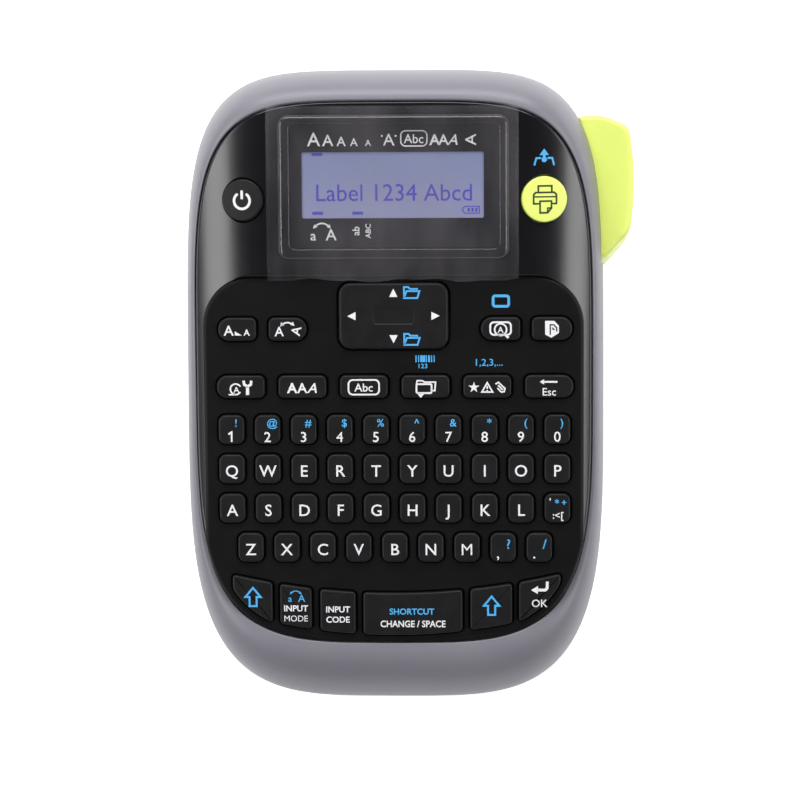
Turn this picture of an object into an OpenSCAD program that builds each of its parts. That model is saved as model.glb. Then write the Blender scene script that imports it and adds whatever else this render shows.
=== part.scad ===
// Hand-held label maker: keyboard, display, tape cartridge, printing mechanism and cutter lever.
// Millimetres. +X right, +Y towards the display, +Z up. Origin: middle of the base, on the table.

/* [Body] */
// Width of the case, without the lever
body_w = 118; // [112:1:150]
// Length of the case
body_l = 177; // [172:1:220]
// Case wall thickness
wall = 2.2; // [1.6:0.1:2.8]
// Thickness of the case floor
floor_t = 2.4; // [1.8:0.1:3]
// Height of the face plane at the near end of the keyboard
face_z = 32; // [30:0.5:40]
// Tilt of the face towards the user, degrees
face_tilt = 10; // [6:0.5:14]
// Height of the line where the two shells meet, at the near end
seam_z = 14; // [12:0.5:18]
// Rise of that line per millimetre of length
seam_slope = 0.105; // [0.06:0.005:0.14]

/* [Face panel] */
// Thickness of the face panel
panel_t = 2.2; // [1.6:0.1:2.6]
// Width of the case left showing at each side of the panel
side_strip = 3.8; // [3:0.1:8]
// Length of the case left showing below the panel
chin_l = 16; // [12:0.5:24]
// Length of the case left showing above the panel
top_strip = 12.2; // [9:0.1:20]
// Width of the face's falling side at each edge of the case
crown_side = 26; // [23:1:33]
// Radius of the face's falling sides
crown_r = 45; // [40:1:70]
// Height of the display area above the key deck
deck_rise = 1.5; // [0.8:0.1:2]
// Width of the case beside the key deck
deck_side = 6; // [5:0.5:7]
// Far edge of the key deck
deck_far = 105.7; // [105:0.1:108]

/* [Keys] */
// Distance between typing key columns
col_pitch = 10.08; // [9.6:0.02:10.3]
// Distance between typing key rows
row_pitch = 11.1; // [10.6:0.1:11.3]
// Width of a typing key
key_w = 7.2; // [6:0.1:7.6]
// Length of a typing key
key_l = 8.2; // [7:0.1:8.6]
// Corner radius of a typing key
key_r = 2; // [1:0.1:2.6]
// Height of the keys above the deck
key_rise = 1.25; // [0.8:0.05:2]
// How far a key can be pressed
key_travel = 0.8; // [0.5:0.05:1.2]
// Gap around each key
key_gap = 0.35; // [0.25:0.05:0.45]
// Radius of the power button
power_r = 5.8; // [5:0.1:6.5]
// Radius of the print button
print_r = 6.35; // [5:0.05:7]

/* [Display] */
// Width of the raised display frame
frame_w = 63.8; // [60:0.1:66]
// Length of the raised display frame
frame_l = 40; // [36:0.5:41]
// Height of the display frame above the deck
frame_rise = 4; // [3:0.1:5]
// Width of the display window
window_w = 57.3; // [55:0.1:59]
// Length of the display window
window_l = 33.9; // [32:0.1:35]

/* [Batteries] */
// Diameter of one cell
cell_d = 14.5; // [13.9:0.1:14.6]
// Length of one cell with its tip
cell_l = 50.5; // [49:0.1:50.5]
// Distance between cells
cell_pitch = 14.75; // [14.7:0.05:14.8]
// Length of a fitted contact spring
spring_l = 3.8; // [2.5:0.1:4.5]

/* [Tape and mechanism] */
// Width of the label tape
tape_w = 18; // [9:1:18]
// Width of the tape cartridge
cart_w = 66; // [62:1:68]
// Length of the tape cartridge
cart_l = 46; // [42:1:46]
// Radius of the platen roller
roller_r = 4.5; // [3.5:0.1:5]
// Gear module
gear_m = 0.8; // [0.7:0.05:0.8]
// Radius of the motor can
motor_r = 9; // [7:0.5:9]
// How far the lever stands out of the case
lever_out = 8.4; // [6:0.2:10]
// Radius of the lever's pin
pin_r = 1.5; // [1.2:0.1:2]
// Radial clearance of a running fit
run_gap = 0.06; // [0.04:0.01:0.1]

/* [Hidden] */
$fn = 48;

// Outline of the case
ring_n = 72;
half_w = body_w / 2;
half_l = body_l / 2;
far_power = 4.75;
near_power = 3.85;
base_inset = 3.5;
edge_inset = 1.6;
edge_z = 1.5;
flank_inset = 0.4;
flank_z = 5;
seam_gap = 0.1;

// Face: u across, v along and w out of the tilted face, measured from its near end
face_y = 13.5 - half_l;
face_len = 190;
panel_half_w = half_w - side_strip;
crown_flat = half_w - crown_side;
deck_half_w = half_w - deck_side;
panel_half_l = (body_l - chin_l - top_strip) / 2;
panel_y = (chin_l - top_strip) / 2;
panel_far_power = 4.5;
panel_near_power = 3.9;
panel_gap = 0.3;
rim_t = 3.2;
ledge_in = 1.8;
ledge_out = 1.2;
ledge_t = 3.4;
seat_gap = 0.05;
deck_r = 14;
skirt_t = 1.8;

// Layers under the panel
flange_gap = 0.2;
flange_t = 1.3;
flange_lip = 0.7;
stem_t = 0.4;
stem_w = 3;
mat_t = 1.2;
board_t = 1.6;
flange_top = -panel_t - flange_gap;
flange_z = flange_top - flange_t;
stem_z = flange_z - stem_t;
mat_top = stem_z - key_travel - 0.1;
board_top = mat_top - mat_t - 0.1;
board_z = board_top - board_t;
board_half_w = 47;
board_far = 151;
board_near = 3.5;
board_inset = 4.2;

// Keys: [u, v, width, length, left corner radius, right corner radius]
type_u = 0.2;
type_v = 29.6;
end_r = 2.9;
func_u = 0.45;
func_v = 74.9;
func_pitch = 17.14;
func_w = 13.4;
func_l = 6.35;
func_r = 1.6;
pair_v = 91;
pair_l = 6.45;
pair_r = 3.1;
nav_at = [0.25, 94.65];
nav_w = 30.4;
nav_l = 18.4;
nav_r = 3.3;
nav_gap = 0.45;
nav_z = -3.2;
nav_post_r = 2.2;
nav_pivot_z = -3.7;

// Bottom row: the keys lie between two arcs
low_near_r = 160;
low_near_v = 4.65;
low_far_r = 200;
low_far_v = 16.65;
low_edge = 3.6;
low_stem_v = 13.8;

// Display and round buttons
screen_at = [0.5, 130.4];
frame_r = 3;
frame_z = -2.2;
window_at = [0.75, 130.65];
window_t = 1.6;
window_drop = 1;
lcd_w = 53.4;
lcd_l = 30.4;
lcd_t = 2.8;
film_w = 69.5;
film_l = 48;
film_at = [0.25, 128.8];
film_t = 0.15;
power_at = [-41.2, 126.9];
print_at = [42, 126.8];
button_gap = 0.3;
button_rise = 1;
button_lip = 1;
button_t = 4.6;

// Board fixing
board_posts = [[-27, 22.3], [27, 22.1], [-36, 82.9], [37, 82.9], [-38, 109], [38, 109]];
post_r = 2.1;
post_bore = 1.05;
board_screw_r = 0.95;
board_screw_l = 4;

// Case fixing
screw_posts = [[-36, 13 - half_l], [36, 13 - half_l], [7.5 - half_w, -2], [half_w - 7.5, -2],
    [-40, half_l - 11.5], [-1, half_l - 8.5]];
screw_post_r = 3;
screw_r = 1.25;
screw_head_r = 2.3;
screw_head_t = 1.8;
screw_seat = 6;
screw_l = 13;

// Battery bay
cells = 6;
bay_half_w = (cells - 1) * cell_pitch / 2 + cell_d / 2 + 0.45;
bay_near = 19 - half_l;
plate_t = 0.4;
bay_far = bay_near + cell_l + spring_l + 2 * plate_t + 0.5;
bay_wall = 1.4;
cell_z = floor_t + cell_d / 2 + 0.75;
bay_top = cell_z + cell_d / 2 + 0.75;
contact_w = 10;
contact_h = 9.4;

// Covers
cover_z = 0.4;
cover_gap = 0.3;
cover_r = 6;
notch_top = 6.2;
hinge_out = 1.3;
hinge_edge = 0.5;
hinge_z = 1.4;
tab_w = 8;
tab_t = 1.2;
tab_z = 2.8;
tab_reach = 2.5;
tab_foot = 1.4;
battery_near = bay_near - 2;
battery_far = bay_far + 4;
battery_half_w = bay_half_w + 0.4;
battery_tabs = 22;

// Printing mechanism
tape_x = half_w - 26;
tape_t = 0.16;
platen = [tape_x + roller_r + 0.15, half_l - 21.5];
plate_z = 28.4;
frame_plate_t = 2.2;
gear_z = plate_z + frame_plate_t + 0.6;
gear_t = 4;
pinion_teeth = 9;
idler_teeth = 20;
platen_teeth = 15;
ribbon_teeth = 40;
mesh_gap = 0.1;
idler_dir = 170;
pinion_dir = 165;
ribbon_dir = 260;
idler = platen + mesh_at(platen_teeth, idler_teeth, idler_dir);
pinion = idler + mesh_at(idler_teeth, pinion_teeth, pinion_dir);
ribbon = idler + mesh_at(idler_teeth, ribbon_teeth, ribbon_dir);
idler_turn = meshed(0, platen_teeth, idler_teeth, idler_dir);
pinion_turn = meshed(idler_turn, idler_teeth, pinion_teeth, pinion_dir);
ribbon_turn = meshed(idler_turn, idler_teeth, ribbon_teeth, ribbon_dir);
shaft_r = 1.5;
motor_h = 22;
motor_shaft_r = 1;

// Cartridge
cart_x = tape_x - 2 - cart_w;
cart_far = platen[1] - 8.5;
cart_y = cart_far - cart_l;
cart_z = 3;
cart_h = plate_z - cart_z - 0.6;
pocket_top = cart_z + cart_h - 1.6;
spool_gap = 0.8;
tape_spool_r = 18.5;
tape_spool_at = [cart_x + tape_spool_r + 3.5, cart_y + cart_l / 2 - 2];
supply_r = 6.5;
supply_at = ribbon - [0, 21];
takeup_r = 6;
spindle_r = 2;
bay_gap = 0.6;
frame_wall = 1.4;
cover_x0 = cart_x - 2.5;
cover_x1 = cart_x + cart_w + 2;
cartridge_near = cart_y - 3.9;
cartridge_far = cart_far + 2;
cartridge_tabs = 20;

// Cutter
blade_y = platen[1] + 9.5;
blade_t = 0.8;
blade_z = 2.7;
blade_h = 23;
pivot = [half_w - 8.5, half_l - 50.5];
lever_r = 87.4;
lever_x = half_w + lever_out - lever_r;
lever_y = half_l - 31.5;
lever_z = 12;
lever_top = 38.5;
lever_wall = 2;
lever_in = half_w - 7.5;
ear_r = 3.8;
ear_z = 18;
window_gap = 0.7;

// Power inlet
jack_at = [-half_w, cart_y + 17.5, 13];
jack_r = 3.2;
jack_w = 9;
jack_l = 13;
jack_pin_r = 1;

function signed_power(v, e) = sign(v) * pow(abs(v), e);

// A rounded outline whose far and near halves have their own squareness
function outline(a, b, far, near) = [for (i = [0 : ring_n - 1])
    let (t = 360 * i / ring_n, n = t < 180 ? far : near)
    [a * signed_power(cos(t), 2 / n), b * signed_power(sin(t), 2 / n)]];

function case_outline(inset) =
    outline(half_w - inset, half_l - inset, far_power, near_power);

function panel_outline(inset) = [for (p = outline(panel_half_w - inset,
    panel_half_l - inset, panel_far_power, panel_near_power)) p + [0, panel_y]];

function seam_at(y) = seam_z + (y + half_l) * seam_slope;

function crown_drop(x) = abs(x) <= crown_flat ? 0
    : crown_r - sqrt(crown_r * crown_r - pow(abs(x) - crown_flat, 2));

// Height of the case rim at a point of the panel outline
function rim_lift(p) = deck_rise * (p[1] - panel_y + panel_half_l) / (2 * panel_half_l)
    - crown_drop(p[0]);
function rim_at(p) = let (w = rim_lift(p))
    face_z + (p[1] - face_y + w * sin(face_tilt)) * tan(face_tilt) + w * cos(face_tilt);

// Centre distance and direction from one gear to the next
function mesh_at(teeth, next, dir) =
    (gear_m * (teeth + next) / 2 + mesh_gap) * [cos(dir), sin(dir)];
// Angle of the next gear that puts its gap over the first gear's tooth
function meshed(turn, teeth, next, dir) =
    dir + 180 - (turn - dir) * teeth / next + 180 / next;

function flat_ring(points, z) = [for (p = points) [p[0], p[1], z]];
function seam_ring(points, lift) = [for (p = points) [p[0], p[1], seam_at(p[1]) + lift]];

// One ring of the quarter-round shoulder between the seam and the panel
function shoulder_ring(turn, low, high, drop) = [for (i = [0 : ring_n - 1])
    let (a = low[i], b = high[i], z0 = seam_at(a[1]) + seam_gap, z1 = rim_at(b) - drop,
        s = 1 - cos(turn))
    [a[0] + (b[0] - a[0]) * s, a[1] + (b[1] - a[1]) * s, z0 + (z1 - z0) * sin(turn)]];

// Skin through a stack of rings, closed with caps or back to its first ring
module skin(rings, looped = false) {
    n = len(rings[0]);
    m = len(rings);
    sides = [for (k = [0 : m - (looped ? 1 : 2)]) for (i = [0 : n - 1])
        let (a = k * n, b = ((k + 1) % m) * n, j = (i + 1) % n)
        each [[a + i, b + i, b + j], [a + i, b + j, a + j]]];
    caps = looped ? [] : [[for (i = [0 : n - 1]) i], [for (i = [n - 1 : -1 : 0]) (m - 1) * n + i]];
    polyhedron(points = [for (r = rings) each r], faces = concat(sides, caps));
}

module on_face() {
    translate([0, face_y, face_z]) rotate([face_tilt, 0, 0]) children();
}

module slab(z0, z1) {
    translate([0, 0, z0]) linear_extrude(z1 - z0) children();
}

module box(x, y, z) {
    translate([x[0], y[0], z[0]]) cube([x[1] - x[0], y[1] - y[0], z[1] - z[0]]);
}

module rod(at, r, z0, z1) {
    translate([at[0], at[1], z0]) cylinder(r = r, h = z1 - z0);
}

// Rectangle with its own corner radius at the left and at the right
module tab(w, l, left, right) {
    translate([left - w / 2, -l / 2]) square([w - left - right, l]);
    for (s = [[-1, left], [1, right]]) {
        x = s[0] > 0 ? w / 2 - s[1] : -w / 2;
        translate([x, s[1] - l / 2]) square([s[1], l - 2 * s[1]]);
        for (y = [-1, 1]) translate([s[0] * (w / 2 - s[1]), y * (l / 2 - s[1])]) circle(s[1]);
    }
}

module case_prism(inset) {
    linear_extrude(100) polygon(case_outline(inset));
}

module panel_prism(inset) {
    linear_extrude(100) polygon(panel_outline(inset));
}

// Everything under the crowned face at a given height above the key deck
module crown(lift) {
    on_face() translate([0, face_len, 0]) rotate([90, 0, 0])
        linear_extrude(face_len + 20) translate([0, lift - crown_r]) {
            translate([-crown_flat, -crown_r]) square([2 * crown_flat, 2 * crown_r]);
            for (s = [-1, 1]) translate([s * crown_flat, 0]) circle(crown_r, $fn = 96);
        }
}

module deck(inset) {
    w = deck_half_w - inset;
    far = deck_far - inset;
    translate([-w, -20]) square([2 * w, far + 20 - deck_r]);
    translate([deck_r - w, far - deck_r - 1]) square([2 * (w - deck_r), deck_r + 1]);
    for (s = [-1, 1]) translate([s * (w - deck_r), far - deck_r]) circle(deck_r);
}

// Outer body of the rear shell
module rear_outer() {
    skin([flat_ring(case_outline(base_inset), 0), flat_ring(case_outline(edge_inset), edge_z),
        flat_ring(case_outline(flank_inset), flank_z), seam_ring(case_outline(0), -seam_gap)]);
}

module rear_inner() {
    skin([flat_ring(case_outline(edge_inset + wall), floor_t),
        flat_ring(case_outline(flank_inset + wall), flank_z),
        seam_ring(case_outline(wall), 1)]);
}

// Cover or its opening: round corners at the near edge and square ones at the hinge
module cover_plan(x0, x1, y0, y1, inset, hinge) {
    w = x1 - x0 - 2 * inset;
    l = y1 - y0 - inset - hinge;
    translate([(x0 + x1) / 2, y0 + inset + l / 2]) {
        tab(w, l, cover_r, cover_r);
        translate([-w / 2, 0]) square([w, l / 2]);
    }
}

module lever_window() {
    box([half_w - 15, half_w + 12], [pivot[1] - 4.2, half_l - 12], [lever_z - window_gap,
        lever_top + window_gap]);
}

module rear_shell() {
    color([0.62, 0.61, 0.66])
    difference() {
        union() {
            difference() {
                rear_outer();
                rear_inner();
                lever_window();
                rod_x(jack_at, jack_r + 0.5, 12);
                slot();
            }
            bay_box();
            for (p = screw_posts) rod(p, screw_post_r, 1, seam_at(p[1]) - 1);
            rod(pivot, ear_r, 1, lever_z - 0.6);
            rod(platen, 3, 1, floor_t + 1.4);
        }
        slab(-1, floor_t + 0.01) {
            cover_plan(-battery_half_w, battery_half_w, battery_near, battery_far, 0, 0);
            mirror([0, 1, 0])
                cover_plan(cover_x0, cover_x1, -cartridge_far, -cartridge_near, 0, 0);
        }
        for (s = [-1, 1]) tab_notch(s * battery_tabs, bay_far - bay_wall, bay_far + bay_wall + 2);
        for (p = screw_posts) {
            rod(p, screw_r + 0.3, -1, 60);
            rod(p, screw_head_r + 0.3, -1, seam_at(p[1]) - screw_seat);
        }
        rod(pivot, pin_r + 0.02, 3.9, 20);
        rod(platen, shaft_r + run_gap, floor_t + 0.1, 20);
    }
}

module rod_x(at, r, l) {
    translate([at[0] - l / 2, at[1], at[2]]) rotate([0, 90, 0]) cylinder(r = r, h = l);
}

module slot() {
    box([tape_x - 1.5, tape_x + 1.5], [half_l - 12, half_l + 5], [4, 8 + tape_w]);
}

module tab_notch(x, y0, y1) {
    box([x - tab_w / 2 - 1, x + tab_w / 2 + 1], [y0, y1], [floor_t, notch_top]);
}

// Battery bay, open below
module bay_box() {
    difference() {
        box([-bay_half_w - bay_wall, bay_half_w + bay_wall], [bay_near - bay_wall,
            bay_far + bay_wall], [floor_t - 0.2, bay_top + bay_wall]);
        box([-bay_half_w, bay_half_w], [bay_near, bay_far], [-1, bay_top]);
        slab(floor_t - 1, floor_t + 0.3)
            cover_plan(-battery_half_w, battery_half_w, battery_near, battery_far, 0, 0);
    }
}

module front_shell() {
    low = case_outline(0);
    high = panel_outline(-panel_gap);
    low_in = case_outline(wall);
    color([0.64, 0.63, 0.68])
    difference() {
        union() {
            difference() {
                skin(concat([for (t = [0, 22, 44, 66, 80, 90]) shoulder_ring(t, low, high, 0)],
                    [for (t = [90, 60, 30, 0]) shoulder_ring(t, low_in, high, rim_t)]), true);
                lever_window();
            }
            ledge();
            for (p = screw_posts) front_post(p);
            pin_lug();
        }
        for (p = screw_posts) rod(p, screw_r + 0.1, 1, seam_at(p[1]) + screw_l - screw_seat + 1);
        rod(pivot, pin_r + run_gap, lever_top, lever_top + 6);
    }
}

// Shelf that carries the face panel
module ledge() {
    difference() {
        intersection() {
            difference() {
                panel_prism(-ledge_out);
                panel_prism(ledge_in);
            }
            crown(deck_rise - panel_t - seat_gap);
        }
        crown(deck_rise - panel_t - seat_gap - ledge_t);
        on_face() {
            slab(-panel_t - seat_gap, 5) deck(-0.1);
            slab(-20, 5) translate(screen_at) tab(frame_w + 3.4, frame_l + 3.4, frame_r, frame_r);
        }
    }
}

module front_post(p) {
    intersection() {
        rod(p, screw_post_r, 1, 90);
        crown(deck_rise - panel_t - seat_gap - 1);
        front_fill();
    }
}

// Space inside the front shell's outer surface
module front_fill() {
    low = case_outline(1);
    high = panel_outline(0.5);
    skin([for (t = [0, 30, 60, 90]) shoulder_ring(t, low, high, 2)]);
}

module pin_lug() {
    z0 = lever_top + window_gap;
    intersection() {
        union() {
            rod(pivot, ear_r, z0, z0 + 2.8);
            box([pivot[0], half_w - 1.6], [pivot[1] - ear_r, pivot[1] + ear_r], [z0, z0 + 2.8]);
        }
        case_prism(1.4);
    }
}

module key_shape(k, grow) {
    translate([k[0], k[1]]) tab(k[2] + 2 * grow, k[3] + 2 * grow, k[4] + grow, k[5] + grow);
}

function typing_row(row, count) = [for (i = [0 : count - 1])
    [type_u + (i - (count - 1) / 2) * col_pitch, type_v + row * row_pitch, key_w, key_l,
        key_r, key_r]];
function func_key(i) = [func_u + (i - 2.5) * func_pitch, func_v, func_w, func_l,
    i == 0 ? end_r : func_r, i == 5 ? end_r : func_r];

size_at = [-43.25, pair_v, 10.6, pair_l, pair_r, func_r];
rotate_at = [-29.2, pair_v, 10.6, pair_l, func_r, pair_r];
preview_at = [29.9, pair_v, 11, pair_l, pair_r, func_r];
copy_at = [44.1, pair_v, 11.2, pair_l, func_r, pair_r];
nav_shape = [nav_at[0], nav_at[1], nav_w, nav_l, nav_r, nav_r];
round_keys = concat(typing_row(0, 9), typing_row(1, 10), typing_row(2, 10),
    typing_row(3, 10), [for (i = [0 : 5]) func_key(i)], [size_at, rotate_at, preview_at, copy_at]);

// Bottom row keys, from their left and right edges
left_shift_u = [-45.4, -34.2];
case_u = [-32.2, -23.2];
code_u = [-20.9, -10.9];
space_u = [-8.8, 19.1];
right_shift_u = [21.2, 33];
enter_u = [34.8, 46.5];
low_keys = [left_shift_u, case_u, code_u, space_u, right_shift_u, enter_u];

module low_shape(u, grow) {
    intersection() {
        translate([u[0] - grow, 0]) square([u[1] - u[0] + 2 * grow, 40]);
        translate([0, low_near_v - grow + low_near_r]) circle(low_near_r, $fn = 180);
        difference() {
            translate([-100, 0]) square([200, 60]);
            translate([0, low_far_v + grow + low_far_r]) circle(low_far_r, $fn = 180);
        }
    }
}

module round_key(k, stem = true) {
    slab(flange_z + 0.6, key_rise) key_shape(k, 0);
    slab(flange_z, flange_top) key_shape(k, flange_lip);
    slab(stem_z, flange_z + 0.1) translate([k[0] - stem_w / 2, k[1] - stem_w / 2])
        square(stem_w);
}

module low_key(u) {
    mid = (u[0] + u[1]) / 2;
    intersection() {
        on_face() {
            slab(flange_z + 0.6, key_rise) low_shape(u, 0);
            slab(flange_z, flange_top) low_shape(u, flange_lip);
        }
        panel_prism(low_edge);
    }
    on_face() slab(stem_z, flange_z + 0.1) translate([mid - stem_w / 2, low_stem_v]) square(stem_w);
}

module button_frame(at) {
    side = sign(at[0]);
    lean = asin((abs(at[0]) - crown_flat) / crown_r);
    on_face() translate([at[0], at[1], deck_rise - crown_drop(at[0])])
        rotate([0, side * lean, 0]) children();
}

module face_panel() {
    color([0.08, 0.08, 0.085])
    difference() {
        union() {
            difference() {
                intersection() {
                    panel_prism(0);
                    crown(deck_rise);
                }
                crown(deck_rise - panel_t);
                on_face() {
                    slab(0, 10) deck(0);
                    slab(-20, 10) deck(skirt_t);
                }
            }
            intersection() {
                panel_prism(0);
                on_face() slab(-panel_t, 0) deck(0);
            }
            difference() {
                intersection() {
                    panel_prism(0);
                    on_face() slab(-9, 0) deck(0);
                }
                on_face() slab(-20, 1) deck(skirt_t);
                crown(deck_rise - panel_t);
            }
            on_face() for (p = board_posts) rod(p, post_r, board_top + 0.05, -0.6);
        }
        on_face() {
            slab(-5, 5) for (k = round_keys) key_shape(k, key_gap);
            slab(-5, 5) key_shape(nav_shape, nav_gap);
            slab(-5, 8) translate(screen_at) tab(frame_w + 0.5, frame_l + 0.5, frame_r + 0.25,
                frame_r + 0.25);
            for (p = board_posts) rod(p, post_bore, board_top - 1, -1.2);
        }
        intersection() {
            on_face() slab(-5, 5) for (u = low_keys) low_shape(u, key_gap);
            panel_prism(low_edge - key_gap);
        }
        button_frame(power_at) rod([0, 0], power_r + button_gap, -8, 8);
        button_frame(print_at) rod([0, 0], print_r + button_gap, -8, 8);
    }
}

module display_bezel() {
    color([0.05, 0.05, 0.055])
    on_face() difference() {
        union() {
            slab(frame_z, frame_rise) translate(screen_at) tab(frame_w, frame_l, frame_r, frame_r);
            slab(frame_z, deck_rise - panel_t - 0.15) translate(screen_at)
                tab(frame_w + 2.4, frame_l + 2.4, frame_r + 1, frame_r + 1);
        }
        slab(frame_rise - window_drop - window_t, frame_rise + 1) translate(window_at)
            tab(window_w + 0.4, window_l + 0.4, 1.6, 1.6);
        slab(frame_z - 1, frame_rise) translate(window_at)
            tab(lcd_w + 0.6, lcd_l + 0.6, 1, 1);
    }
}

module display_window() {
    color([0.2, 0.2, 0.25, 0.5])
    on_face() slab(frame_rise - window_drop - window_t + 0.05, frame_rise - window_drop)
        translate(window_at) tab(window_w, window_l, 1.4, 1.4);
}

module display_film() {
    color([0.8, 0.8, 0.85, 0.3])
    on_face() slab(frame_rise + 0.05, frame_rise + 0.05 + film_t) translate(film_at)
        tab(film_w, film_l, 1, 1);
}

module lcd_panel() {
    top = frame_rise - window_drop - window_t - 0.15;
    color([0.6, 0.65, 0.85])
    on_face() translate([window_at[0], window_at[1], 0]) {
        slab(top - lcd_t, top) tab(lcd_w, lcd_l, 0.6, 0.6);
        for (s = [-1, 1]) slab(board_top + 0.05, top - lcd_t + 0.1)
            translate([s * (lcd_w / 2 - 2) - 1, -lcd_l / 2 + 2]) square([2, lcd_l - 4]);
    }
}

module under_panel(near, far, half, inset) {
    intersection() {
        on_face() children();
        on_face() slab(-20, 5) translate([-half, near]) square([2 * half, far - near]);
        panel_prism(inset);
    }
}

module main_board() {
    color([0.05, 0.3, 0.15])
    difference() {
        union() {
            under_panel(board_near, board_far, board_half_w, board_inset)
                slab(board_z, board_top) translate([-60, 0]) square([120, 160]);
            on_face() for (c = [[-20, 60, 14, 14], [12, 96, 10, 8], [-34, 40, 8, 12]])
                slab(board_z - 1.4, board_z + 0.1) translate([c[0], c[1]]) square([c[2], c[3]]);
        }
        on_face() for (p = board_posts) rod(p, board_screw_r + 0.2, board_z - 1, board_top + 1);
    }
}

module keypad_mat() {
    color([0.35, 0.36, 0.38])
    difference() {
        under_panel(board_near, deck_far - 1, board_half_w, board_inset)
            slab(mat_top - mat_t, mat_top) translate([-60, 0]) square([120, 160]);
        on_face() for (p = board_posts) rod(p, post_r + 0.4, mat_top - mat_t - 1, mat_top + 1);
    }
}

module battery_cover() {
    color([0.6, 0.59, 0.64])
    cover(-battery_half_w, battery_half_w, battery_near, battery_far, battery_tabs);
}

module cartridge_cover() {
    mid = (cover_x0 + cover_x1) / 2;
    color([0.6, 0.59, 0.64])
    translate([mid, 0, 0]) mirror([0, 1, 0])
        cover(cover_x0 - mid, cover_x1 - mid, -cartridge_far, -cartridge_near, cartridge_tabs);
}

// Cover hinged on two hooks at its far edge, with a finger hollow at its near edge
module cover(x0, x1, y0, y1, tabs) {
    difference() {
        union() {
            slab(cover_z, floor_t)
                cover_plan(x0, x1, y0, y1, cover_gap, hinge_out - hinge_edge);
            for (s = [-1, 1]) {
                x = s * tabs;
                edge = y1 - hinge_out + hinge_edge;
                box([x - tab_w / 2, x + tab_w / 2], [edge - tab_foot, edge], [cover_z,
                    tab_z + tab_t]);
                box([x - tab_w / 2, x + tab_w / 2], [edge - tab_foot, y1 + tab_reach],
                    [tab_z, tab_z + tab_t]);
            }
        }
        translate([(x0 + x1) / 2, y0 - 2, cover_z - 7.4]) rotate([-90, 0, 0])
            cylinder(r = 8.4, h = 10);
    }
}

function cell_x(i) = (i - (cells - 1) / 2) * cell_pitch;
function cell_side(i) = i % 2 == 0 ? 1 : -1;

// Runs along the bay from the contact plate at a cell's spring end
module at_spring_end(i) {
    near = cell_side(i) > 0;
    translate([cell_x(i), near ? bay_near + 0.1 : bay_far - 0.1, cell_z])
        rotate([near ? -90 : 90, 0, 0]) children();
}

module batteries() {
    can = cell_l - 1.2;
    color([0.2, 0.35, 0.25])
    for (i = [0 : cells - 1]) at_spring_end(i) translate([0, 0, plate_t + spring_l + 0.1]) {
        cylinder(r = cell_d / 2, h = can);
        translate([0, 0, can]) cylinder(r = 2.7, h = 1.2);
    }
}

module battery_springs() {
    color([0.75, 0.75, 0.78])
    for (i = [0 : cells - 1]) at_spring_end(i) translate([0, 0, plate_t + 0.05])
        coil(3.6, 0.35, spring_l, 3, 1.2);
}

// Coil spring along +Z; its radius shrinks by the taper towards the far end
module coil(r, wire, l, turns, taper = 0) {
    steps = 12 * turns;
    rise = l - 2 * wire;
    skin([for (k = [0 : steps]) let (a = 360 * k / 12, q = r - taper * k / steps)
        [for (j = [0 : 5]) let (b = -60 * j, c = q + wire * cos(b))
            [c * cos(a), c * sin(a), wire + rise * k / steps + wire * sin(b)]]]);
}

module battery_plates() {
    color([0.8, 0.8, 0.82])
    for (i = [0 : cells - 1]) for (y = [bay_near + 0.1, bay_far - 0.1 - plate_t])
        box([cell_x(i) - contact_w / 2, cell_x(i) + contact_w / 2], [y, y + plate_t],
            [cell_z - contact_h / 2, cell_z + contact_h / 2]);
}

module dc_jack() {
    x0 = jack_at[0] + wall + 0.6;
    color([0.1, 0.1, 0.1])
    difference() {
        box([x0, x0 + jack_l], [jack_at[1] - jack_w / 2, jack_at[1] + jack_w / 2], [jack_at[2] - 7,
            jack_at[2] + 5]);
        translate([x0 - 1, jack_at[1], jack_at[2]]) rotate([0, 90, 0])
            difference() {
                cylinder(r = jack_r, h = 10.5);
                cylinder(r = jack_pin_r, h = 12);
            }
        translate([x0 - 1, jack_at[1], jack_at[2]]) rotate([0, 90, 0])
            cylinder(r = jack_pin_r + 1, h = 1.4);
    }
}

module mid_frame() {
    x0 = cart_x - bay_gap - frame_wall;
    x1 = cart_x + cart_w + bay_gap;
    y0 = cart_y - 0.8 - frame_wall;
    y1 = cart_far + bay_gap;
    low = floor_t + 0.5;
    color([0.2, 0.2, 0.22])
    difference() {
        union() {
            intersection() {
                box([14.5 - half_w, half_w - 13.5], [y0, half_l - 10.5], [plate_z,
                    plate_z + frame_plate_t]);
                case_prism(wall + 0.6);
            }
            box([x0, x0 + frame_wall], [y0, y1], [low, plate_z]);
            box([x0, x1 + frame_wall], [y0, y0 + frame_wall], [low, plate_z]);
            box([x1, x1 + frame_wall], [y0, cart_y + 30], [low, plate_z]);
            box([x0, 8], [y1, y1 + frame_wall], [low, plate_z]);
            for (p = frame_legs()) rod(p, 2.6, floor_t + 0.1, plate_z);
            rod(idler, shaft_r, plate_z, gear_z + gear_t + 0.4);
        }
        for (p = screw_posts) rod(p, screw_post_r + 0.5, plate_z - 1, 40);
        for (s = [-1, 1]) {
            x = (cover_x0 + cover_x1) / 2 + s * cartridge_tabs;
            tab_notch(x, y0 - 1, y0 + 4);
        }
        rod(platen, shaft_r + run_gap, plate_z - 1, 40);
        rod(ribbon, spindle_r + run_gap, plate_z - 1, 40);
        rod(pinion, 3, plate_z - 1, 40);
    }
}

function frame_legs() = [[16.2 - half_w, cart_y + 1.5], [16.2 - half_w, cart_far - 2],
    [cart_x + cart_w + 6.5, cart_y + 8], [-24, half_l - 16]];

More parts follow.
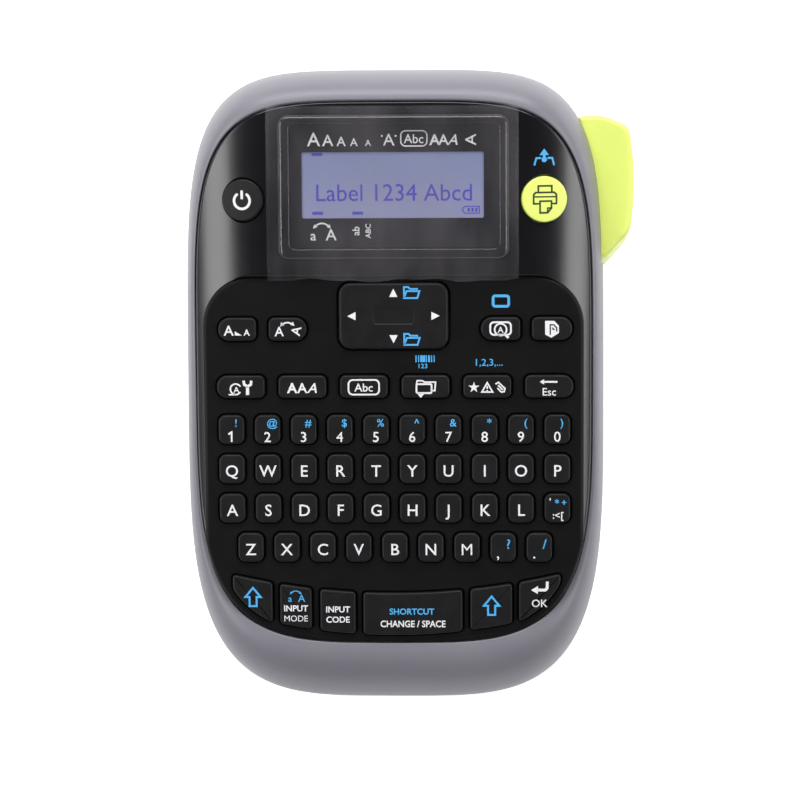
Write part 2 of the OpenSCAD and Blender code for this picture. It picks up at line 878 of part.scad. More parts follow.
module print_head() {
    x1 = tape_x - tape_t / 2 - 0.15;
    color([0.75, 0.75, 0.77])
    union() {
        box([x1 - 1.2, x1], [platen[1] - 3, platen[1] + 3], [cart_z + 1.5, cart_z + 23]);
        box([x1 - 3.6, x1 - 1.1], [platen[1] - 6, platen[1] + 6], [cart_z, plate_z - 0.1]);
        box([x1 - 6, x1 - 3.5], [platen[1] - 2, platen[1] + 5], [plate_z - 3, plate_z - 0.1]);
    }
}

module platen_roller() {
    color([0.15, 0.15, 0.16])
    difference() {
        rod(platen, roller_r, floor_t + 2, floor_t + 2 + tape_w + 4);
        rod(platen, shaft_r + 0.02, 1, 40);
    }
}

module platen_shaft() {
    color([0.7, 0.7, 0.72]) rod(platen, shaft_r, floor_t + 0.4, gear_z + gear_t + 0.5);
}

module platen_gear() {
    color([0.9, 0.88, 0.82]) gear(platen, platen_teeth, 0, shaft_r + 0.02);
}

module idler_gear() {
    color([0.9, 0.88, 0.82]) gear(idler, idler_teeth, idler_turn, shaft_r + run_gap);
}

module motor_pinion() {
    color([0.8, 0.7, 0.4]) gear(pinion, pinion_teeth, pinion_turn, motor_shaft_r + run_gap);
}

module ribbon_spindle() {
    color([0.9, 0.88, 0.82]) {
        gear(ribbon, ribbon_teeth, ribbon_turn, 0);
        rod(ribbon, spindle_r, cart_z + 1.6, gear_z + 0.1);
    }
}

// Spur gear with straight-sided teeth
module gear(at, teeth, turn, bore) {
    pitch_r = gear_m * teeth / 2;
    step = 360 / teeth;
    root = pitch_r - 1.15 * gear_m;
    tip = pitch_r + 0.8 * gear_m;
    translate([at[0], at[1], gear_z]) difference() {
        rotate([0, 0, turn]) linear_extrude(gear_t)
            polygon([for (i = [0 : teeth - 1]) for (q = [[root, -0.28], [tip, -0.1],
                [tip, 0.1], [root, 0.28]]) let (a = (i + q[1]) * step)
                [q[0] * cos(a), q[0] * sin(a)]]);
        if (bore > 0) translate([0, 0, -1]) cylinder(r = bore, h = gear_t + 2);
    }
}

module drive_motor() {
    top = plate_z - 0.1;
    color([0.7, 0.7, 0.72]) {
        difference() {
            rod(pinion, motor_r, top - motor_h, top);
            for (s = [-1, 1]) box([pinion[0] - 20, pinion[0] + 20], s > 0 ? [pinion[1] + motor_r
                - 1.5, 120] : [0, pinion[1] - motor_r + 1.5], [0, 60]);
        }
        rod(pinion, 2.6, top - 0.1, top + 1.6);
        rod(pinion, motor_shaft_r, top, gear_z + gear_t + 0.3);
    }
}

module cartridge_case() {
    color([0.85, 0.85, 0.87])
    difference() {
        union() {
            box([cart_x, cart_x + cart_w], [cart_y, cart_far], [cart_z, cart_z + cart_h]);
            box([cart_x + cart_w - 4, tape_x + 2], [cart_far - 7, cart_far], [cart_z + 1,
                cart_z + cart_h]);
        }
        rod(tape_spool_at, tape_spool_r + spool_gap, cart_z - 1, pocket_top);
        rod(supply_at, supply_r + spool_gap, cart_z - 1, pocket_top);
        rod(ribbon, takeup_r + spool_gap, cart_z - 1, pocket_top);
        rod(ribbon, spindle_r + 0.4, cart_z - 1, 40);
        box([tape_x - 0.6, tape_x + 0.6], [cart_far - 5, cart_far + 1], [cart_z, cart_z + 22]);
    }
    // Posts for the spools
    color([0.85, 0.85, 0.87]) {
        rod(tape_spool_at, 4, cart_z + 0.8, pocket_top + 0.5);
        rod(supply_at, 2, cart_z + 0.8, pocket_top + 0.5);
    }
}

module spool(at, r, bore, h) {
    difference() {
        union() {
            rod(at, bore + 1.4, cart_z + 1, cart_z + h);
            rod(at, r, cart_z + 2, cart_z + h - 0.6);
        }
        rod(at, bore, cart_z, 40);
    }
}

module tape_spool() {
    color([0.95, 0.95, 0.93]) spool(tape_spool_at, tape_spool_r, 4 + run_gap + 0.1, tape_w + 3);
}

module ribbon_supply_spool() {
    color([0.1, 0.1, 0.1]) spool(supply_at, supply_r, 2 + run_gap + 0.1, tape_w + 3);
}

module ribbon_takeup_spool() {
    color([0.15, 0.15, 0.15]) spool(ribbon, takeup_r, spindle_r + 0.02, tape_w + 3);
}

module label_tape() {
    color([0.96, 0.96, 0.94])
    box([tape_x - tape_t / 2, tape_x + tape_t / 2], [cart_far - 4, blade_y - 0.3], [cart_z + 2,
        cart_z + 2 + tape_w]);
}

// Plan of the lever's thumb plate: a bulged outer edge and slanted ends
module lever_plan(inset) {
    near = half_l - 53.6 + inset;
    far = half_l - 13.2 - inset;
    side = half_w + 0.2;
    intersection() {
        translate([lever_x, lever_y]) circle(lever_r - inset, $fn = 180);
        polygon([[lever_in - 0.01, near], [side - 0.4 * inset, near],
            [half_w + 12, near + 13], [half_w + 12, far - 5.4], [side - 0.4 * inset, far],
            [lever_in - 0.01, far]]);
    }
}

module cutter_lever() {
    z1 = lever_top;
    color([0.87, 0.95, 0.31])
    difference() {
        union() {
            difference() {
                slab(lever_z, z1) lever_plan(0);
                slab(lever_z + lever_wall, z1 - lever_wall) lever_plan(lever_wall);
                rod(pivot, ear_r + 1, lever_z - 1, ear_z);
            }
            rod(pivot, ear_r, ear_z, z1);
            box([pivot[0], lever_in + 6], [pivot[1] - 2.5, pivot[1] + 3], [ear_z, z1]);
            box([half_w - 11.4, lever_in + 2], [half_l - 16.2, half_l - 13.2], [lever_z, 26.4]);
        }
        rod(pivot, pin_r + run_gap, lever_z, z1 + 1);
    }
}

module cutter_blade() {
    top = blade_z + blade_h;
    inner = half_w - 14;
    color([0.78, 0.78, 0.8]) {
        box([tape_x + 1.4, tape_x + 7], [blade_y, blade_y + blade_t], [blade_z, top]);
        box([tape_x + 5, inner], [blade_y, blade_y + 1.4], [flank_z + 1, top]);
        box([inner - 3, half_w - 12.1], [blade_y - 3, blade_y - 0.9], [flank_z + 1, top]);
        box([inner - 3, inner], [blade_y - 1, blade_y + 0.1], [flank_z + 1, top]);
    }
}

module fixed_blade() {
    color([0.78, 0.78, 0.8])
    box([tape_x - 4.4, tape_x - 0.3], [blade_y - 1.2, blade_y - 0.1], [floor_t + 0.1,
        blade_z + blade_h]);
}

module lever_pin() {
    color([0.72, 0.72, 0.74]) rod(pivot, pin_r, 4, lever_top + 3.4);
}

module lever_spring() {
    color([0.75, 0.75, 0.78])
    translate([pivot[0], pivot[1], lever_z - 0.4]) coil(2.5, 0.4, ear_z - lever_z, 5);
}

module case_screws() {
    color([0.6, 0.6, 0.62])
    for (p = screw_posts) {
        seat = seam_at(p[1]) - screw_seat - 0.1;
        difference() {
            rod(p, screw_head_r, seat - screw_head_t, seat);
            box([p[0] - 1.6, p[0] + 1.6], [p[1] - 0.3, p[1] + 0.3], [seat - screw_head_t - 1,
                seat - 1]);
            box([p[0] - 0.3, p[0] + 0.3], [p[1] - 1.6, p[1] + 1.6], [seat - screw_head_t - 1,
                seat - 1]);
        }
        rod(p, screw_r, seat - 0.1, seat + screw_l);
    }
}

module board_screws() {
    color([0.6, 0.6, 0.62])
    on_face() for (p = board_posts) {
        rod(p, 1.8, board_z - 1.1, board_z - 0.05);
        rod(p, board_screw_r, board_z - 0.1, board_z + board_screw_l);
    }
}

module button(at, r) {
    button_frame(at) {
        rod([0, 0], r, -button_t + 0.4, button_rise);
        rod([0, 0], r + button_lip, -button_t, -button_t + 1);
        rod([0, 0], 1.6, -button_t - 0.6, -button_t + 0.1);
    }
}

module power_button() {
    color([0.06, 0.06, 0.065]) button(power_at, power_r);
}

module print_button() {
    color([0.87, 0.95, 0.31]) button(print_at, print_r);
}

module nav_pad() {
    color([0.06, 0.06, 0.065]) on_face() {
        slab(nav_z, key_rise) key_shape(nav_shape, 0);
        rod(nav_at, nav_post_r, nav_pivot_z + 0.1, nav_z + 0.1);
    }
}

module nav_pivot() {
    color([0.5, 0.5, 0.52]) on_face() rod(nav_at, nav_post_r, mat_top + 0.2, nav_pivot_z);
}

module black_key(k) {
    color([0.07, 0.07, 0.075]) on_face() round_key(k);
}

module key_row(keys) {
    color([0.07, 0.07, 0.075]) on_face() for (k = keys) round_key(k);
}

module bottom_key(u) {
    color([0.07, 0.07, 0.075]) low_key(u);
}

rear_shell();
front_shell();
face_panel();
display_bezel();
display_window();
display_film();
lcd_panel();
main_board();
keypad_mat();
mid_frame();
battery_cover();
cartridge_cover();
batteries();
battery_springs();
battery_plates();
dc_jack();
print_head();
platen_roller();
platen_shaft();
platen_gear();
drive_motor();
motor_pinion();
idler_gear();
ribbon_spindle();
cartridge_case();
tape_spool();
ribbon_supply_spool();
ribbon_takeup_spool();
label_tape();
cutter_lever();
cutter_blade();
fixed_blade();
lever_pin();
lever_spring();
case_screws();
board_screws();
power_button();
print_button();
nav_pad();
nav_pivot();
black_key(size_at);  // size_key
black_key(rotate_at);  // rotate_key
black_key(preview_at);  // preview_key
black_key(copy_at);  // copy_key
black_key(func_key(0));  // settings_key
black_key(func_key(1));  // style_key
black_key(func_key(2));  // frame_key
black_key(func_key(3));  // file_key
black_key(func_key(4));  // symbol_key
black_key(func_key(5));  // escape_key
key_row(typing_row(3, 10));  // number_keys
key_row(typing_row(2, 10));  // upper_letter_keys
key_row(typing_row(1, 10));  // middle_letter_keys
key_row(typing_row(0, 9));  // lower_letter_keys
bottom_key(left_shift_u);  // left_shift_key
bottom_key(case_u);  // case_key
bottom_key(code_u);  // code_key
bottom_key(space_u);  // space_key
bottom_key(right_shift_u);  // right_shift_key
bottom_key(enter_u);  // enter_key
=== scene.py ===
"""Hand-held label maker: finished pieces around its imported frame."""

from math import asin, cos, pi, radians, sin, sqrt, tan

import bmesh
import bpy
from bpy.props import FloatProperty, FloatVectorProperty, PointerProperty
from mathutils import Matrix, Vector


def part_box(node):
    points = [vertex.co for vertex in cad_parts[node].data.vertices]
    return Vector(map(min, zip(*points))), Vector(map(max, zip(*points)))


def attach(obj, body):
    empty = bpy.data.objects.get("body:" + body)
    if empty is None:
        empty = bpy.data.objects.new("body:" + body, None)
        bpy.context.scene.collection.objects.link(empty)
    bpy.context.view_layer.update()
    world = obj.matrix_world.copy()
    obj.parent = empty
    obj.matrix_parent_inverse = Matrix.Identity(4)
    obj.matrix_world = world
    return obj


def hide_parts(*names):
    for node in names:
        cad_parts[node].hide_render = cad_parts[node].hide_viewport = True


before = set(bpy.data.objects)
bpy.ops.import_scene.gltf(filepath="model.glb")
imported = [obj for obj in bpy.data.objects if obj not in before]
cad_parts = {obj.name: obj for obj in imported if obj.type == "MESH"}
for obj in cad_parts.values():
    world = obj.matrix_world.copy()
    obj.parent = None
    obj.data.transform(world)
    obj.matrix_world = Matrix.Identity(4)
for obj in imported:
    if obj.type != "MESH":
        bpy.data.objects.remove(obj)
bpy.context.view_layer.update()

bl_info = {
    "name": "Label Maker",
    "version": (1, 0, 0),
    "blender": (4, 5, 0),
    "location": "3D View > Sidebar > Label Maker",
    "description": "Builds the shells, keys, display, legends and finishes of a hand-held label maker",
    "category": "Object",
}

MM = 0.001

# Case outline and heights, in millimetres
HALF_W, HALF_L = (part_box("rear_shell")[1] / MM).xy
RING = 288  # points round an outline
FAR_POWER = 4.75  # squareness of the outline's far half
NEAR_POWER = 3.85  # and of its near half
BASE_INSET = 3.5  # how far the base lies inside the outline
FLANK_INSET = 0.4  # and the flank, where the base's rounding ends
FLANK_Z = 5  # height of that place
SEAM_Z = 14  # height of the seam at the near end
SEAM_SLOPE = 0.105
FLOOR_T = 2.4  # thickness of the case floor
SKIN_T = 1.1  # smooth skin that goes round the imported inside
RIM_T = 3.2  # depth of the rim beside the face panel
SEAM_GAP = 0.1  # half of the gap between the shells

# Tilted face: u across, v along and w out of it, counted from a place over the near end
TILT = radians(10)
FACE_Y = 13.5 - HALF_L
FACE_Z = 32
PANEL_HALF_W = 55.2
PANEL_HALF_L = 74.4
PANEL_Y = 1.9  # the panel's middle, in plan
PANEL_GAP = 0.3
PANEL_T = 2.2
CROWN_FLAT = 33  # half width of the crown's flat middle
CROWN_R = 45  # radius of its falling sides
DECK_RISE = 1.5  # height of the crown over the key deck
DECK_HALF_W = 53
DECK_FAR = 105.7  # where the deck ends along the face
DECK_R = 14
SKIRT_T = 1.8  # wall of the skirt under the panel
SKIRT_W = -9  # how deep the skirt reaches

# Keys: pitches, then sizes and places on the tilted face
COLUMN = 10.08
ROW = 11.1
KEY_SIZE = (7.2, 8.2)
KEY_R = 2.0
TYPE_U = 0.2  # middle of the lowest typing row, across
TYPE_V = 29.6  # and along the face
KEY_TOP = 1.25  # height of the key tops over the deck
KEY_GAP = 0.35
FLANGE_LIP = 0.7  # how far a hidden flange sticks out under the deck
FLANGE_TOP = -2.4
FLANGE_W = -3.7
FUNC_AT = (0.45, 74.9)
FUNC_PITCH = 17.14
FUNC_SIZE = (13.4, 6.35)
OUTER_R = 2.9  # corners at the function row's two ends
INNER_R = 1.6  # corners between its keys
PAIR_V = 91
PAIR_L = 6.45
# Keys beside the pad: middle, width, left and right corner radius
PAIRS = {"size_key": (-43.25, 10.6, 3.1, 1.6), "rotate_key": (-29.2, 10.6, 1.6, 3.1),
         "preview_key": (29.9, 11, 3.1, 1.6), "copy_key": (44.1, 11.2, 1.6, 3.1)}
NAV_AT = (0.25, 94.65)
NAV_SIZE = (30.4, 18.4)
NAV_R = 3.3
NAV_DIP = (11.4, 4.8)  # sunk middle of the pad
LOW_EDGE = 2.0  # how close the bottom row comes to the panel's edge
# Arcs of the bottom row's near and far edge: place of the centre along the face, and radius
LOW_ARCS = ((164.65, 160), (216.65, 200))
# Left and right end of each bottom key
LOW_ROW = {"left_shift_key": (-45.4, -34.2), "case_key": (-32.2, -23.2),
           "code_key": (-20.9, -10.9), "space_key": (-8.8, 19.1),
           "right_shift_key": (21.2, 33), "enter_key": (34.8, 46.5)}
# Typing rows: number from the bottom, and letters
TYPING_ROWS = {"lower_letter_keys": (0, "ZXCVBNM"), "middle_letter_keys": (1, "ASDFGHJKL"),
               "upper_letter_keys": (2, "QWERTYUIOP"), "number_keys": (3, "1234567890")}
ROW_COUNT = (9, 10, 10, 10)
FUNCTION_KEYS = ("settings_key", "style_key", "frame_key", "file_key", "symbol_key", "escape_key")

# Display and round buttons
SCREEN_AT = (0.5, 130.4)
SCREEN_HOLE = (64.3, 40.5)
FRAME_SIZE = (63.8, 40)
WINDOW_AT = (0.75, 130.65)
WINDOW_HOLE = (57.7, 34.3)
WINDOW_SIZE = (57.3, 33.9)
WELL_SIZE = (54, 31)
VIEW_AT = (0.3, 130.9)
VIEW_SIZE = (50.2, 18.2)
FRAME_TOP = 4  # heights over the deck, from the frame's top down to the display
FRAME_W = -2.2  # foot of the frame
WINDOW_TOP = 3
WINDOW_LOW = 1.45
LCD_TOP = 1.25
FILM_AT = (0.25, 128.8)
FILM_SIZE = (69.5, 48)
FILM_TOP = 4.2
FILM_T = 0.04
POWER_AT = (-41.2, 126.9)
POWER_R = 5.8
PRINT_AT = (42, 126.8)
PRINT_R = 6.35
BUTTON_GAP = 0.3
BUTTON_RISE = 1  # height of the round buttons over the crown

# Openings in the case: boxes by their sides, doors by their four edges, screws by their places
LEVER_WINDOW = ((44, 71), (33.8, 76.5), (11.3, 39.2))
INLET_AT = (-HALF_W, 30, 13)
INLET_R = 3.7
TAPE_SLOT = ((31.5, 34.5), (HALF_L - 12, HALF_L + 5), (4, 26))
COUNTERBORE_R = 2.6
SCREWS = ((-36, -75.5), (36, -75.5), (-51.5, -2), (51.5, -2), (-40, 77), (-1, 80))
BATTERY_DOOR = (-44.975, 44.975, -71.5, -9.9)
CARTRIDGE_DOOR = (-37.5, 33, 8.6, 60.5)
DOOR_R = 6

# Lever: its hollow paddle, and the pivot it turns on
LEVER_Z = (12, 38.5)
LEVER_Y = (HALF_L - 53.6, HALF_L - 13.2)  # near and far end
BULGE_AT = (-20, 57)  # middle and radius of the paddle's outer side
BULGE_R = 87.4
LEVER_WALL = 2
PIVOT = (50.5, 38)
EAR_Z = 18  # the ear round the pin starts here
EAR_R = 3.8
BORE_R = 1.56  # bore of the pin

# Cells, screws and ribs
CELLS = 6
CELL_PITCH = 14.75
CELL_L = 49.3
CELL_ROOM = 4.3  # from a contact plate to the cell's foot
SPRING_ROOM = 0.8  # and to the spring's foot
HEAD_T = 1.8
HEAD_DEPTH = 6.1  # how deep the case screws lie under the seam
BOARD_POSTS = ((-27, 22.3), (27, 22.1), (-36, 82.9), (37, 82.9), (-38, 109), (38, 109))
BOARD_SCREW_W = -9.0  # the board screws' heads, under the deck
RIB_SIZE = (0.8, 7)
RIB_PITCH = 2.2
RIB_INSET = 11  # from a cover's free edge to its grip ribs

# Lettering: height of a capital in a font of size 1, and what folds over when made bolder
CAPITAL = 0.7290
THIN_ONLY = "M4"

# Studio: floor height in millimetres and its glow, and the room's light
FLOOR_Z = -0.05
FLOOR_HALF = 4000
FLOOR_LIFT = 0.6
ROOM_LIGHT = 0.05
# Soft boxes: place, what each is aimed at, width, length in metres, and power in watts
LAMPS = (
    ("Far softbox", (0.0, 0.8, 0.7), (0, 0, 0.03), 1.2, 0.45, 12),
    ("Left softbox", (-0.72, -0.12, 0.66), (0, 0.02, 0.03), 0.7, 0.34, 5.5),
    ("Right softbox", (0.75, -0.12, 0.64), (0, 0.02, 0.03), 0.7, 0.28, 4.5),
)


# ---------------------------------------------------------------- settings

def length(name, text, default):
    """Length property from millimetres"""
    return FloatProperty(name=name, description=text, default=default * MM, min=0, unit="LENGTH",
                         precision=5)


def paint(name, text, colour):
    """Colour property"""
    return FloatVectorProperty(name=name, description=text, default=colour, size=3,
                               subtype="COLOR", min=0, max=1)


class LabelMakerSizes(bpy.types.PropertyGroup):
    """Roundings and print sizes of the finished pieces"""
    rim_edge: length("Rim edge", "Rounding of the case rim beside the face panel", 0.45)
    seam_edge: length("Seam edge", "Rounding of both shells where they meet", 0.3)
    panel_edge: length("Panel edge", "Rounding of the face panel's outer edge", 0.7)
    deck_edge: length("Deck edge", "Rounding of the key deck's edge", 1.1)
    key_edge: length("Key edge", "Rounding of the key tops", 0.55)
    frame_edge: length("Frame edge", "Rounding of the display frame", 1.5)
    lever_edge: length("Lever edge", "Rounding of the thumb lever", 1.6)
    letter: length("Letter height", "Height of a capital letter on the typing keys", 3.35)
    ink: length("Ink thickness", "Thickness of printed legends", 0.03)
    ink_line: length("Icon line", "Line width of the printed icons", 0.42)


class LabelMakerColours(bpy.types.PropertyGroup):
    """Colours of the finished pieces"""
    case_grey: paint("Case", "Satin grey of both case shells", (0.205, 0.199, 0.232))
    panel_black: paint("Panel", "Satin black of the face panel", (0.006, 0.006, 0.0075))
    deck_black: paint("Key deck", "Matte black of the key deck", (0.0042, 0.0042, 0.0048))
    key_black: paint("Keys", "Matte black of the keys", (0.0095, 0.0095, 0.0105))
    lime: paint("Lime", "Print button and thumb lever", (0.84, 0.96, 0.2))
    white_ink: paint("White ink", "Main legends", (0.80, 0.80, 0.82))
    blue_ink: paint("Blue ink", "Second legends", (0.075, 0.42, 0.82))
    screen: paint("Screen", "Lit background of the display", (0.2, 0.23, 0.4))
    screen_ink: paint("Screen marks", "Marks shown on the display", (0.09, 0.075, 0.55))


def size(name):
    """One of the sizes, in millimetres"""
    return getattr(bpy.context.scene.label_maker_sizes, name) / MM


def colour(name):
    """One of the colours"""
    return tuple(getattr(bpy.context.scene.label_maker_colours, name))


# ---------------------------------------------------------------- outlines

def quarter(steps):
    """Angles of a quarter turn in even steps, with both ends"""
    return [pi / 2 * k / steps for k in range(steps + 1)]


def signed_power(v, e):
    return (1 if v >= 0 else -1) * abs(v) ** e


def squircle(a, b, far, near, y=0):
    """Closed outline whose far and near halves have their own squareness"""
    points = []
    for i in range(RING):
        t = 2 * pi * i / RING
        n = far if i < RING / 2 else near
        points.append((a * signed_power(cos(t), 2 / n), y + b * signed_power(sin(t), 2 / n)))
    return points


def case_outline(inset=0):
    return squircle(HALF_W - inset, HALF_L - inset, FAR_POWER, NEAR_POWER)


def panel_outline(inset=0):
    return squircle(PANEL_HALF_W - inset, PANEL_HALF_L - inset, 4.5, 3.9, PANEL_Y)


def soften(corners, radius=0, steps=8, least=radians(25)):
    """Outline through (x, y) or (x, y, radius) corners, with its sharp corners rounded"""
    outline = []
    count = len(corners)
    for i, corner in enumerate(corners):
        here = Vector(corner[:2])
        back = (Vector(corners[i - 1][:2]) - here).normalized()
        ahead = (Vector(corners[(i + 1) % count][:2]) - here).normalized()
        r = corner[2] if len(corner) > 2 else radius
        opening = back.angle(ahead)
        if r <= 0 or pi - opening < least:
            outline.append(tuple(here))
            continue
        centre = here + (back + ahead).normalized() * r / sin(opening / 2)
        start = here + back * r / tan(opening / 2) - centre
        end = here + ahead * r / tan(opening / 2) - centre
        turn = start.angle_signed(end)
        for k in range(steps + 1):
            outline.append(tuple(centre + Matrix.Rotation(-turn * k / steps, 2) @ start))
    return outline


def eased(outline, reach, step=0.25):
    """Outline through evenly spaced points, with its corners rounded over a reach"""
    corners = [Vector(p[:2]) for p in outline]
    lengths = [(corners[(i + 1) % len(corners)] - c).length for i, c in enumerate(corners)]
    count = round(sum(lengths) / step)
    pace = sum(lengths) / count
    ring = []
    gone = 0
    side = 0
    for k in range(count):
        while k * pace > gone + lengths[side]:
            gone += lengths[side]
            side += 1
        share = (k * pace - gone) / lengths[side]
        ring.append(corners[side].lerp(corners[(side + 1) % len(corners)], share))
    span = max(1, round(reach / pace / 2))
    for _ in range(2):
        ring = [sum((ring[(i + j) % count] for j in range(-span, span + 1)), Vector((0, 0)))
                / (2 * span + 1) for i in range(count)]
    return [tuple(p) for p in ring]


def rectangle(at, w, l, left, right=None, steps=8):
    """Rounded rectangle with its own corner radius at the left and at the right"""
    right = left if right is None else right
    x, y = at
    return soften([(x - w / 2, y - l / 2, left), (x + w / 2, y - l / 2, right),
                   (x + w / 2, y + l / 2, right), (x - w / 2, y + l / 2, left)], steps=steps)


def round_outline(at, r, count=64):
    return [(at[0] + r * cos(2 * pi * i / count), at[1] + r * sin(2 * pi * i / count))
            for i in range(count)]


def grown(outline, d):
    """Outline moved outwards by d"""
    moved = []
    count = len(outline)
    for i, point in enumerate(outline):
        here = Vector(point)
        a = here - Vector(outline[i - 1])
        b = Vector(outline[(i + 1) % count]) - here
        a = a.normalized() if a.length > 1e-6 else b.normalized()
        b = b.normalized() if b.length > 1e-6 else a
        normal = Vector((a.y + b.y, -a.x - b.x)).normalized()
        reach = max(0.5, normal.dot(Vector((a.y, -a.x))))
        moved.append(tuple(here + normal * d / reach))
    return moved


def distinct(outline, least=0.01):
    """Outline without points that fall on one another"""
    return [p for i, p in enumerate(outline) if (Vector(p) - Vector(outline[i - 1])).length > least]


def clip(outline, fence):
    """Part of an outline inside a convex fence"""
    result = outline
    for i, a in enumerate(fence):
        b = fence[(i + 1) % len(fence)]
        edge = Vector(b) - Vector(a)
        if edge.length < 1e-6:
            continue
        side = [edge.x * (p[1] - a[1]) - edge.y * (p[0] - a[0]) for p in result]
        kept = []
        for j, p in enumerate(result):
            if side[j - 1] * side[j] < 0:
                share = side[j - 1] / (side[j - 1] - side[j])
                kept.append(tuple(Vector(result[j - 1]).lerp(Vector(p), share)))
            if side[j] >= 0:
                kept.append(p)
        result = kept
    return result


# ---------------------------------------------------------------- places

def on_face(u, v, w=0):
    """Point of the tilted face"""
    return Vector((u, FACE_Y + v * cos(TILT) - w * sin(TILT), FACE_Z + v * sin(TILT) + w * cos(TILT)))


def above(x, y, w):
    """Point over a place of the plan, w out of the tilted face"""
    return on_face(x, (y - FACE_Y + w * sin(TILT)) / cos(TILT), w)


def crown(u):
    """Height of the display area's surface, which falls away at both sides"""
    reach = abs(u) - CROWN_FLAT
    return DECK_RISE if reach <= 0 else DECK_RISE - CROWN_R + sqrt(CROWN_R ** 2 - reach ** 2)


def seam(y):
    return SEAM_Z + (y + HALF_L) * SEAM_SLOPE


def rim(x, y, down=0):
    """Point of the case rim beside the face panel"""
    share = (y - PANEL_Y + PANEL_HALF_L) / (2 * PANEL_HALF_L)
    point = above(x, y, crown(x) - DECK_RISE + DECK_RISE * share)
    return point - Vector((0, 0, down))


def shoulder(turn, low, high, lift=0.1, down=0):
    """Ring of the quarter-round shoulder from the seam at turn 0 to the rim at a right angle,
    between two outlines, with its foot lifted off the seam and its top let down from the rim"""
    ring = []
    for (x0, y0), (x1, y1) in zip(low, high):
        share = 1 - cos(turn)
        z0 = seam(y0) + lift
        z1 = rim(x1, y1, down).z
        ring.append((x0 + (x1 - x0) * share, y0 + (y1 - y0) * share, z0 + (z1 - z0) * sin(turn)))
    return ring


def face_rings(outline, levels, height=None):
    """Rings on the tilted face: each level grows the outline by its first number and lifts it to
    its second, measured from height(u, v) where that is given"""
    rings = []
    for growth, w in levels:
        ring = []
        for u, v in grown(outline, growth):
            ring.append(on_face(u, v, w + (height(u, v) if height else 0)))
        rings.append(ring)
    return rings


def plan_rings(outline, levels):
    """Level rings in plan: (growth, z) pairs"""
    return [[(x, y, z) for x, y in grown(outline, growth)] for growth, z in levels]


def top_edge(top, r, steps=6, hold=0.25):
    """Levels of a rounded top edge, with a last level just inside it that keeps the top flat"""
    return [(r * (cos(a) - 1), top - r + r * sin(a)) for a in quarter(steps)] + [(-r - hold, top)]


def low_edge(low, r, steps=4):
    """Levels of a rounded lower edge, from inside out"""
    return [(r * (sin(a) - 1), low + r - r * cos(a)) for a in quarter(steps)]


def flared(low, high, r, steps=4):
    """Levels of a hole cutter that rounds the hole's edge at the surface, height 0"""
    round_edge = [(r * (1 - cos(a)), r * sin(a) - r) for a in quarter(steps)]
    return [(0, low), *round_edge, (r, high)]


# ---------------------------------------------------------------- meshes

def add_object(name, data):
    """Object in the scene around its data"""
    made = bpy.data.objects.new(name, data)
    bpy.context.scene.collection.objects.link(made)
    return made


def new_piece(name, points, faces):
    """Mesh object from millimetre points"""
    mesh = bpy.data.meshes.new(name)
    mesh.from_pydata([Vector(p) * MM for p in points], [], faces)
    mesh.update()
    return add_object(name, mesh)


def loft_data(rings, looped=False, start=0):
    """Points and faces of a skin through rings, capped or closed back to its first ring"""
    n = len(rings[0])
    m = len(rings)
    points = [p for ring in rings for p in ring]
    faces = []
    for k in range(m if looped else m - 1):
        a = k * n
        b = (k + 1) % m * n
        faces += [(start + a + i, start + a + (i + 1) % n, start + b + (i + 1) % n, start + b + i)
                  for i in range(n)]
    if not looped:
        faces.append(tuple(start + i for i in reversed(range(n))))
        faces.append(tuple(start + (m - 1) * n + i for i in range(n)))
    return points, faces


def loft(name, rings, looped=False):
    return new_piece(name, *loft_data(rings, looped))


def lofts(name, stacks):
    """One object from several capped lofts that stay apart"""
    points = []
    faces = []
    for rings in stacks:
        more, skin = loft_data(rings, start=len(points))
        points += more
        faces += skin
    return new_piece(name, points, faces)


def block(name, x, y, z):
    return loft(name, [[(x[0], y[0], h), (x[1], y[0], h), (x[1], y[1], h), (x[0], y[1], h)] for h in z])


def rod(name, at, r, z0, z1, count=48):
    return loft(name, plan_rings(round_outline(at, r, count), [(0, z0), (0, z1)]))


def settle(piece):
    """Applies what the modifiers make"""
    graph = bpy.context.evaluated_depsgraph_get()
    graph.update()
    mesh = bpy.data.meshes.new_from_object(piece.evaluated_get(graph), depsgraph=graph)
    old = piece.data
    piece.modifiers.clear()
    piece.data = mesh
    mesh.name = piece.name
    if old.users == 0:
        bpy.data.meshes.remove(old)
    return piece


def drop_piece(piece):
    mesh = piece.data
    bpy.data.objects.remove(piece)
    if mesh.users == 0:
        bpy.data.meshes.remove(mesh)


def carve(piece, *tools, how="DIFFERENCE"):
    """Cuts tools out of a piece, or joins or intersects it with them, and removes the tools"""
    for tool in tools:
        cut = piece.modifiers.new("cut", "BOOLEAN")
        cut.operation = how
        cut.solver = "MANIFOLD"
        cut.object = tool
        settle(piece)
        drop_piece(tool)
    if not piece.data.polygons:
        raise RuntimeError(f"{piece.name} is empty after {how.lower()}")
    return piece


def copy_of(node):
    """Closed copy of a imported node"""
    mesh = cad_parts[node].data.copy()
    form = bmesh.new()
    form.from_mesh(mesh)
    bmesh.ops.remove_doubles(form, verts=form.verts, dist=0.002 * MM)
    bmesh.ops.dissolve_degenerate(form, edges=form.edges, dist=0.0005 * MM)
    form.to_mesh(mesh)
    form.free()
    mesh.materials.clear()
    return add_object(node + "_copy", mesh)


def coat(name, material):
    """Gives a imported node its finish"""
    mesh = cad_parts[name].data
    mesh.materials.clear()
    mesh.materials.append(material)


